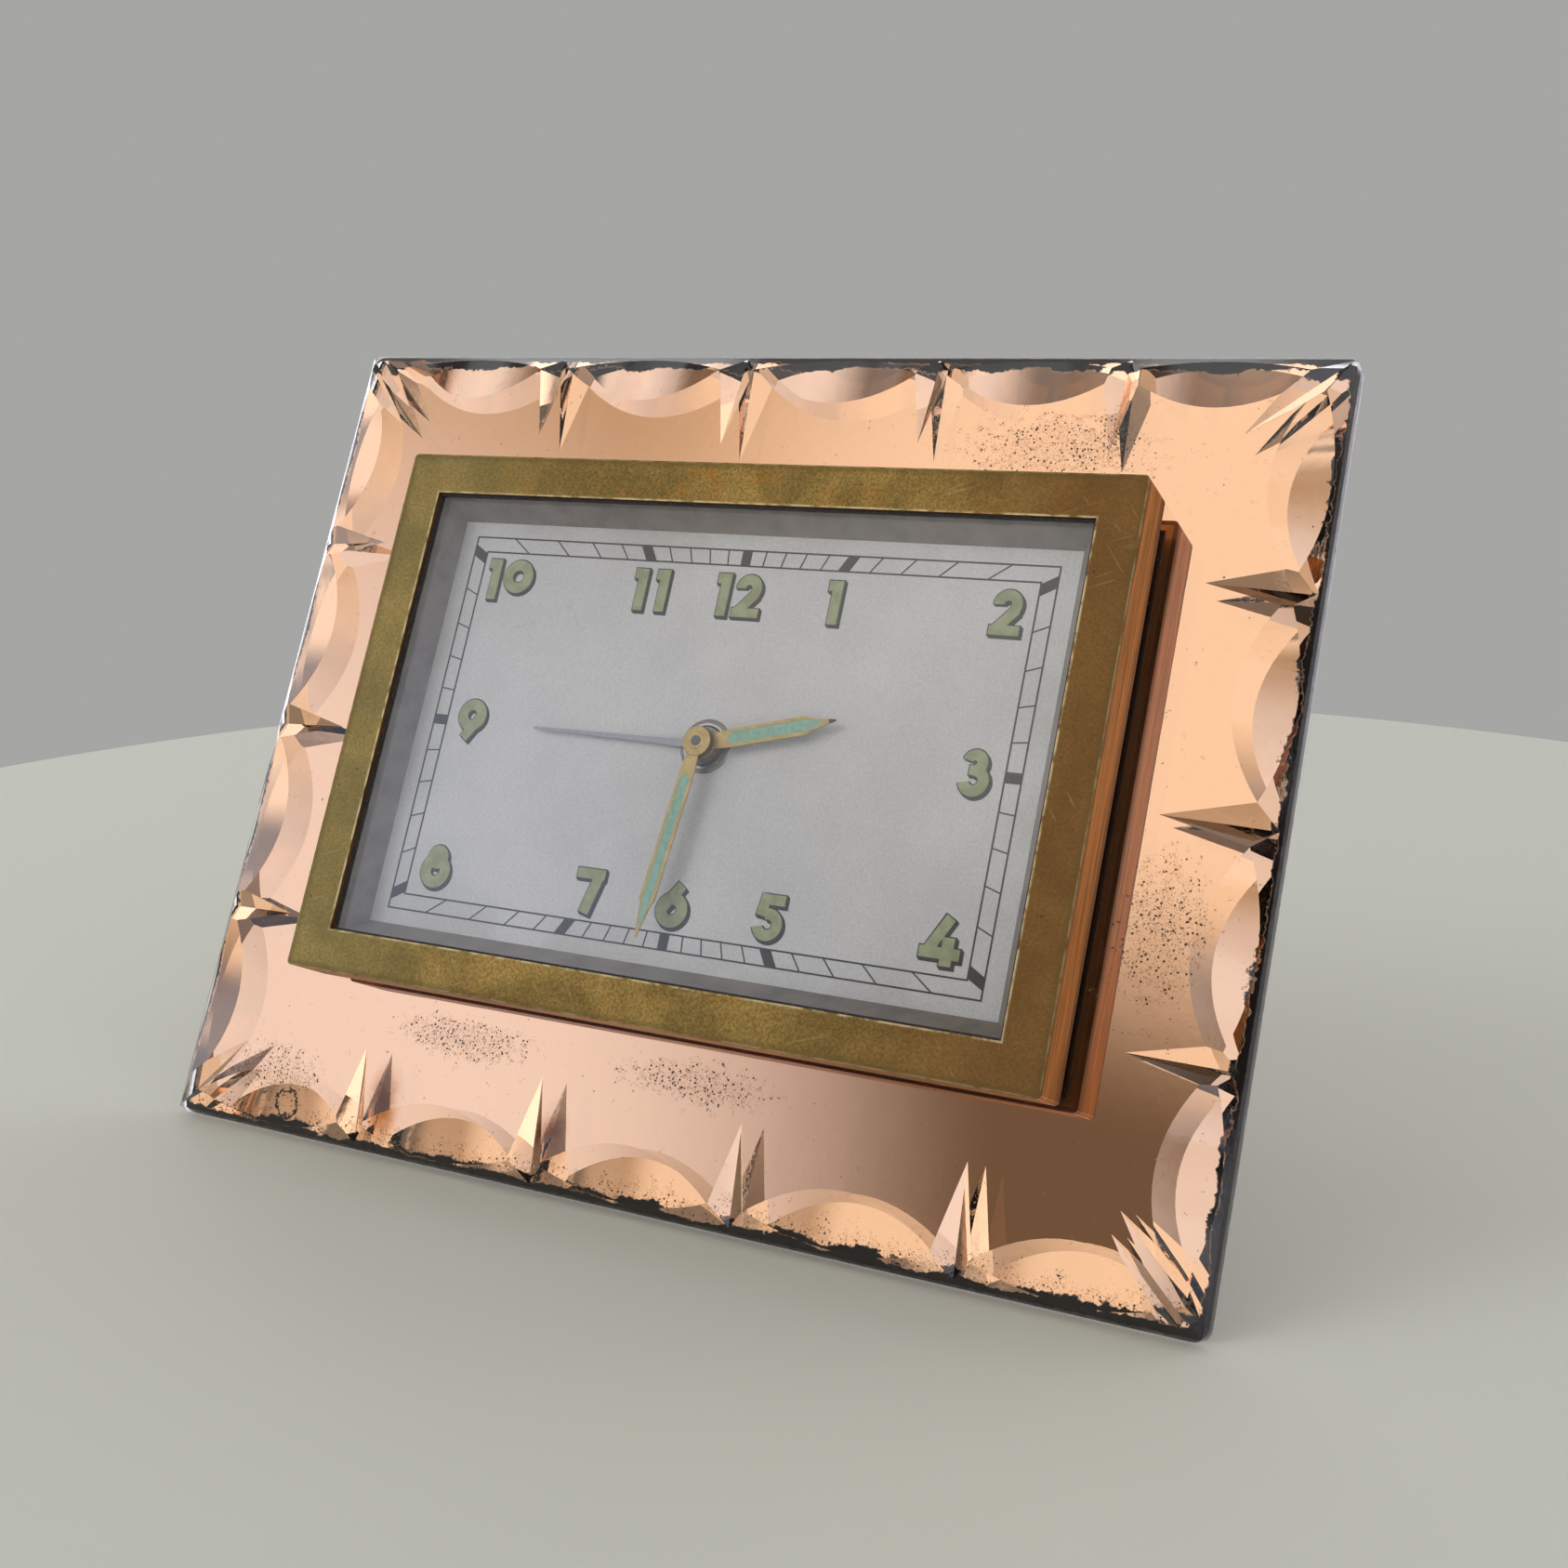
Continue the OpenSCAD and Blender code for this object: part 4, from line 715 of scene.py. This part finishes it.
def dial_paint():
    """Silver-grey dial: a fine metallic grain, a warmer, darker tone in patches near the rim and
    a few marks.
    """
    light, dark = (0.595, 0.585, 0.555, 1), (0.525, 0.52, 0.495, 1)
    warm, dusty, scratched = (0.46, 0.44, 0.38, 1), (0.25, 0.22, 0.18, 1), (0.4, 0.4, 0.4, 1)
    finish = Finish("silvered_dial")
    edge = finish.inside(HAND_AXIS, DIAL_W, DIAL_H)
    cloud = finish.noise(finish.place, 0.04, 5, 0.6)
    # Warmer and darker in patches within 9 mm of the rim
    warmer_near_rim = finish.times(finish.step(edge, 0, 9, 1, 0), finish.step(cloud, 0.35, 0.65))
    color = finish.mix(finish.step(cloud, 0.3, 0.7), light, dark)
    color = finish.mix(finish.times(warmer_near_rim, 0.5), color, warm)
    fleck = finish.noise(finish.place, 2.4, 3, 0.7)
    color = finish.shaded(color, finish.step(fleck, 0.3, 0.7, 0.9, 1.08))
    color = finish.mix(finish.scratched(0.12, 0.35), color, scratched)
    dust = finish.step(finish.cells(finish.place, 0.35), 0.02, 0.05, 0.5, 0)
    color = finish.mix(dust, color, dusty)
    sparkle = finish.noise(finish.place, 7.0, 2)
    rough = finish.step(sparkle, 0.3, 0.7, 0.36, 0.46)
    finish.set(Base_Color=color, Metallic=0.3, Roughness=rough)
    finish.bump(sparkle, 0.000006, 0.5)
    return finish.material


def ink():
    """Black print that is a little thin in places."""
    finish = Finish("dial_ink")
    thin = finish.step(finish.noise(finish.place, 3.0, 3), 0.5, 0.8)
    finish.set(
        Base_Color=finish.mix(thin, (0.012, 0.013, 0.012, 1), (0.05, 0.055, 0.05, 1)),
        Roughness=0.45,
    )
    return finish.material


def luminous(name, tone, dark, size):
    """Luminous paint laid by brush: a grainy, slightly uneven fill."""
    red, green, blue, _ = dark
    finish = Finish(name)
    grit = finish.noise(finish.place, 5.0, 3, 0.7)
    color = finish.mix(finish.step(finish.noise(finish.place, size, 4), 0.35, 0.65), tone, dark)
    darkest = (0.6 * red, 0.6 * green, 0.6 * blue, 1)
    color = finish.mix(finish.step(grit, 0.55, 0.75, 0, 0.5), color, darkest)
    finish.set(Base_Color=color, Roughness=0.75)
    finish.bump(grit, 0.00005, 0.6)
    return finish.material


def seal_black():
    """Old black sealing compound."""
    finish = Finish("black_seal")
    speck = finish.step(finish.noise(finish.place, 1.5, 4), 0.4, 0.8)
    finish.set(
        Base_Color=finish.mix(speck, (0.012, 0.012, 0.012, 1), (0.05, 0.045, 0.04, 1)),
        Roughness=0.6,
    )
    return finish.material


def felt():
    """Black felt, with its fibres laid flat in the ring."""
    finish = Finish("black_felt")
    fibre = finish.noise(finish.scaled(finish.place, (1, 3, 1)), 4.0, 5, 0.8)
    finish.set(
        Base_Color=finish.mix(fibre, (0.008, 0.008, 0.009, 1), (0.05, 0.048, 0.045, 1)),
        Roughness=0.95,
        Sheen_Weight=0.3,
    )
    finish.bump(fibre, 0.0001, 0.8)
    return finish.material


def rubber():
    """Dusty black rubber."""
    finish = Finish("foot_rubber")
    grit = finish.noise(finish.place, 1.8, 5, 0.7)
    dust = finish.step(grit, 0.4, 0.75)
    finish.set(
        Base_Color=finish.mix(dust, (0.018, 0.017, 0.016, 1), (0.07, 0.065, 0.06, 1)),
        Roughness=0.8,
    )
    finish.bump(grit, 0.00008, 0.5)
    return finish.material


HAND_BRASS = (0.62, 0.45, 0.165, 1)
# Past this distance from the hand axis, in millimetres, the tip of the hour hand is black
HOUR_TIP_R = 24.1

# One finish for each slot of the record
FINISHES = {
    "peach_glass": plate_glass(),
    "silvering": silvering(),
    "bezel_brass": bezel_brass(),
    "clear_glass": crystal_glass(),
    "black_seal": seal_black(),
    "silver_paint": reflector_paint(),
    "dial_face": dial_paint(),
    "dial_ink": ink(),
    "luminous_numeral": luminous(
        "numeral_lume", (0.34, 0.37, 0.20, 1), (0.25, 0.28, 0.14, 1), 0.4
    ),
    "luminous_fill": luminous("hand_lume", (0.27, 0.46, 0.34, 1), (0.2, 0.37, 0.27, 1), 0.9),
    "steel": steel("polished_steel", (0.56, 0.57, 0.58, 1)),
    "blued_steel": steel("blued_steel", (0.06, 0.09, 0.2, 1), 0.3),
    "frame_metal": steel("ring_alloy", (0.45, 0.44, 0.41, 1), 0.45, (1, 1, 1)),
    "case_brass": plain_brass("case_brass", (0.55, 0.40, 0.16, 1), 0.6, 0.4),
    "movement_brass": plain_brass("movement_brass", (0.72, 0.52, 0.22, 1), 0.2, 0.1),
    "felt": felt(),
    "rubber": rubber(),
    "hand_brass": plain_brass("hand_brass", HAND_BRASS, 0.5, 0.35, 0.6),
}

# Pieces whose finish differs from the rest of their slot
OWN_FINISHES = {
    "dial_ferrule": ferrule_nickel(),
    "centre_arbor": steel("dark_arbor_steel", (0.13, 0.12, 0.115, 1), 0.3),
    "alarm_hand": steel("grey_hand_steel", (0.33, 0.33, 0.35, 1), 0.35),
    "hour_hand": plain_brass("hour_hand_brass", HAND_BRASS, 0.5, 0.35, 0.6, HOUR_TIP_R),
    "hour_wheel": plain_brass("pipe_brass", (0.30, 0.2, 0.085, 1), 0.6, 0.5, 0.4),
    "cannon_pinion": plain_brass("cannon_brass", (0.28, 0.19, 0.08, 1), 0.6, 0.5, 0.4),
}

slot_of = {part["node"]: part["material_slot"] for part in frame["record"]["subparts"]}
for name, node in nodes.items():
    material = OWN_FINISHES.get(name) or FINISHES[slot_of[name]]
    node.data.materials.clear()
    node.data.materials.append(material)

# How far the silvering lies inside the back of the glass, and the layer that counts as its
# front, in millimetres, and how near two of its vertices are when they are one, in metres
CONTACT = 0.03
FRONT_LAYER = 0.1
SAME_VERTEX = 0.000002


def silver_sheet():
    """The silvering in optical contact with the glass: its front goes a hair inside."""
    source = nodes["silvering"]
    made = source.copy()
    made.data = source.data.copy()
    made.name = "mirror_backing"
    made.parent = None
    made.matrix_world = Matrix.Identity(4)
    bpy.context.scene.collection.objects.link(made)
    deselect()
    made.select_set(True)
    bpy.context.view_layer.objects.active = made
    bpy.ops.object.mode_set(mode="EDIT")
    bpy.ops.mesh.select_all(action="SELECT")
    bpy.ops.mesh.remove_doubles(threshold=SAME_VERTEX)
    bpy.ops.mesh.select_all(action="DESELECT")
    bpy.ops.object.mode_set(mode="OBJECT")
    leaning_to_upright = upright_to_leaning.inverted()
    for vertex in made.data.vertices:
        depth = (leaning_to_upright @ vertex.co).y * MM_IN_M
        vertex.select = depth < PLATE_T + FRONT_LAYER
    bpy.ops.object.mode_set(mode="EDIT")
    bpy.ops.transform.translate(value=place(0, -CONTACT, 0) - place(0, 0, 0))
    bpy.ops.object.mode_set(mode="OBJECT")
    deselect()
    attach(made, "case")
    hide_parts("silvering")


silver_sheet()

# Turned rings on the hand axis: the body and slot of each, its finish, and its profile as
# (radius, height over the front of the glass) in millimetres
RINGS = {
    "minute_collar": (
        "minute_hand_train",
        "hand_brass",
        FINISHES["hand_brass"],
        (
            (0.95, 7.01),
            (0.95, 7.34),
            (1.4, 7.34),
            (1.55, 7.2),
            (2.55, 7.2),
            (2.68, 7.1),
            (2.68, 7.01),
        ),
    ),
    "minute_barrel": (
        "minute_hand_train",
        "movement_brass",
        OWN_FINISHES["cannon_pinion"],
        ((1.97, 6.69), (2.45, 6.69), (2.45, 6.5), (2.28, 6.4), (2.28, 6.0), (1.97, 6.0)),
    ),
    "hour_collar": (
        "hour_hand_wheel",
        "movement_brass",
        OWN_FINISHES["hour_wheel"],
        ((2.15, 5.61), (3.0, 5.61), (3.0, 5.78), (2.85, 5.9), (2.15, 5.9)),
    ),
    "ferrule_flange": (
        "case",
        "steel",
        OWN_FINISHES["dial_ferrule"],
        ((4.39, 3.41), (4.95, 3.41), (4.95, 3.5), (4.82, 3.62), (4.39, 3.7)),
    ),
}
RING_SIDES = 96
RING_SMOOTH_ANGLE = math.radians(20)
ring_to_hand_axis = (
    upright_to_leaning
    @ Matrix.Translation(Vector(HAND_AXIS) / MM_IN_M)
    @ Matrix.Rotation(math.radians(90), 4, "X")
    @ Matrix.Scale(1 / MM_IN_M, 4)
)


def turned_ring(name, body, material, profile):
    """A ring drawn out along its profile from one circle, and closed on itself."""
    deselect()
    radius, height = profile[0]
    bpy.ops.mesh.primitive_circle_add(vertices=RING_SIDES, radius=radius, location=(0, 0, height))
    made = bpy.context.active_object
    made.name = name
    bpy.ops.object.transform_apply(location=True, rotation=True, scale=True)
    bpy.ops.object.mode_set(mode="EDIT")
    bpy.ops.mesh.select_all(action="SELECT")
    for next_radius, next_height in profile[1:]:
        bpy.ops.mesh.extrude_edges_move(
            TRANSFORM_OT_translate={"value": (0, 0, next_height - height)}
        )
        share = next_radius / radius
        bpy.ops.transform.resize(value=(share, share, 1), center_override=(0, 0, 0))
        radius, height = next_radius, next_height
    bpy.ops.mesh.select_all(action="DESELECT")
    bpy.ops.mesh.select_non_manifold()
    bpy.ops.mesh.bridge_edge_loops()
    bpy.ops.mesh.select_all(action="SELECT")
    bpy.ops.mesh.normals_make_consistent(inside=False)
    bpy.ops.object.mode_set(mode="OBJECT")
    bpy.ops.object.shade_smooth_by_angle(angle=RING_SMOOTH_ANGLE)
    made.data.transform(ring_to_hand_axis)
    made.data.materials.clear()
    made.data.materials.append(material)
    deselect()
    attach(made, body)


for name, (body, slot, material, profile) in RINGS.items():
    turned_ring(name, body, material, profile)

# Studio, in metres and watts: a round pale floor, a soft room and two soft lamps
FLOOR_R, FLOOR_X, FLOOR_Y, FLOOR_Z = 0.385, -0.016, 0.116, -0.0002
FLOOR_SIDES = 256
LAMP_AIM = Vector((0, 0, 0.07))
LAMP_HEIGHT_SHARE = 0.8


def pale_floor():
    """A plain round floor that ends where the photograph's table does."""
    bpy.ops.mesh.primitive_circle_add(
        vertices=FLOOR_SIDES,
        radius=FLOOR_R,
        fill_type="NGON",
        location=(FLOOR_X, FLOOR_Y, FLOOR_Z),
    )
    floor = bpy.context.active_object
    floor.name = "floor"
    deselect()
    material = bpy.data.materials.new("pale_floor")
    material.use_nodes = True
    shader = material.node_tree.nodes["Principled BSDF"]
    shader.inputs["Base Color"].default_value = (0.505, 0.51, 0.445, 1)
    shader.inputs["Roughness"].default_value = 0.7
    floor.data.materials.append(material)


# Directions of the room, seen from the clock: what the middle of the flat mirror shows, the
# brightest field of the ceiling, and the window
MIRRORED = Vector((-0.45, -0.72, 0.53)).normalized()
BRIGHT_CEILING = Vector((-0.26, -0.70, 0.66)).normalized()
WINDOW = Vector((-0.70, -0.66, 0.28)).normalized()


def studio_room():
    """The soft room that glass and metal reflect, and a plain grey behind the clock."""
    dim_wall, plain_grey = (0.18, 0.145, 0.115, 1), (0.38, 0.38, 0.375, 1)
    bright_ceiling, dim_ceiling = (1.10, 1.06, 1.02, 1), (0.60, 0.52, 0.42, 1)
    window_light = (1.02, 1.1, 1.32, 1)
    world = bpy.data.worlds.new("studio")
    bpy.context.scene.world = world
    world.use_nodes = True
    sky = Nodes(world.node_tree)
    direction = sky.add("ShaderNodeTexCoord").outputs["Generated"]
    upward = sky.split(direction)[2]

    def toward(aim):
        """How nearly the room is looked at in this direction, up to 1."""
        return sky.vector("DOT_PRODUCT", direction, aim)["Value"]

    off_bright = sky.step(toward(BRIGHT_CEILING), 0.95, 0.992, 1, 0)
    ceiling = sky.mix(off_bright, bright_ceiling, dim_ceiling)
    room = sky.mix(sky.step(upward, 0.46, 0.60), dim_wall, ceiling)
    room = sky.mix(sky.step(toward(WINDOW), 0.90, 0.985), room, window_light)

    # Soft light and dark fields beside what the flat mirror shows: its cut edge sparkles
    patches = sky.noise(sky.scaled(direction, (1, 1, 0.5)), 5.5, 1)
    patches = sky.step(patches, 0.43, 0.57)
    low_fields = sky.mix(patches, (0.05, 0.047, 0.045, 1), (1.9, 1.9, 2.1, 1))
    high_fields = sky.mix(patches, (0.30, 0.29, 0.275, 1), (1.32, 1.33, 1.33, 1))
    fields = sky.mix(sky.step(upward, 0.3, 0.6), low_fields, high_fields)
    room = sky.mix(sky.step(toward(MIRRORED), 0.88, 0.935, 1, 0), room, fields)

    path = sky.add("ShaderNodeLightPath")
    seen = sky.mix(path.outputs["Is Camera Ray"], room, plain_grey)
    background = world.node_tree.nodes["Background"]
    sky.feed(background.inputs["Color"], seen)
    background.inputs["Strength"].default_value = 1.0


def soft_lamp(name, at, size, power):
    """A broad lamp that looks at the middle of the clock."""
    data = bpy.data.lights.new(name, "AREA")
    data.shape = "RECTANGLE"
    data.size = size
    data.size_y = size * LAMP_HEIGHT_SHARE
    data.energy = power
    lamp = bpy.data.objects.new(name, data)
    bpy.context.scene.collection.objects.link(lamp)
    lamp.location = at
    lamp.rotation_euler = (LAMP_AIM - Vector(at)).to_track_quat("-Z", "Y").to_euler()
    # Glass and metal reflect the soft room and not the hard outline of a lamp
    lamp.visible_glossy = False
    lamp.visible_transmission = False


pale_floor()
studio_room()
soft_lamp("window_lamp", (-1.1, -0.9, 1.0), 0.9, 7)
soft_lamp("fill_lamp", (0.9, 1.2, 1.1), 1.0, 4)

bpy.context.scene.view_settings.view_transform = "Standard"
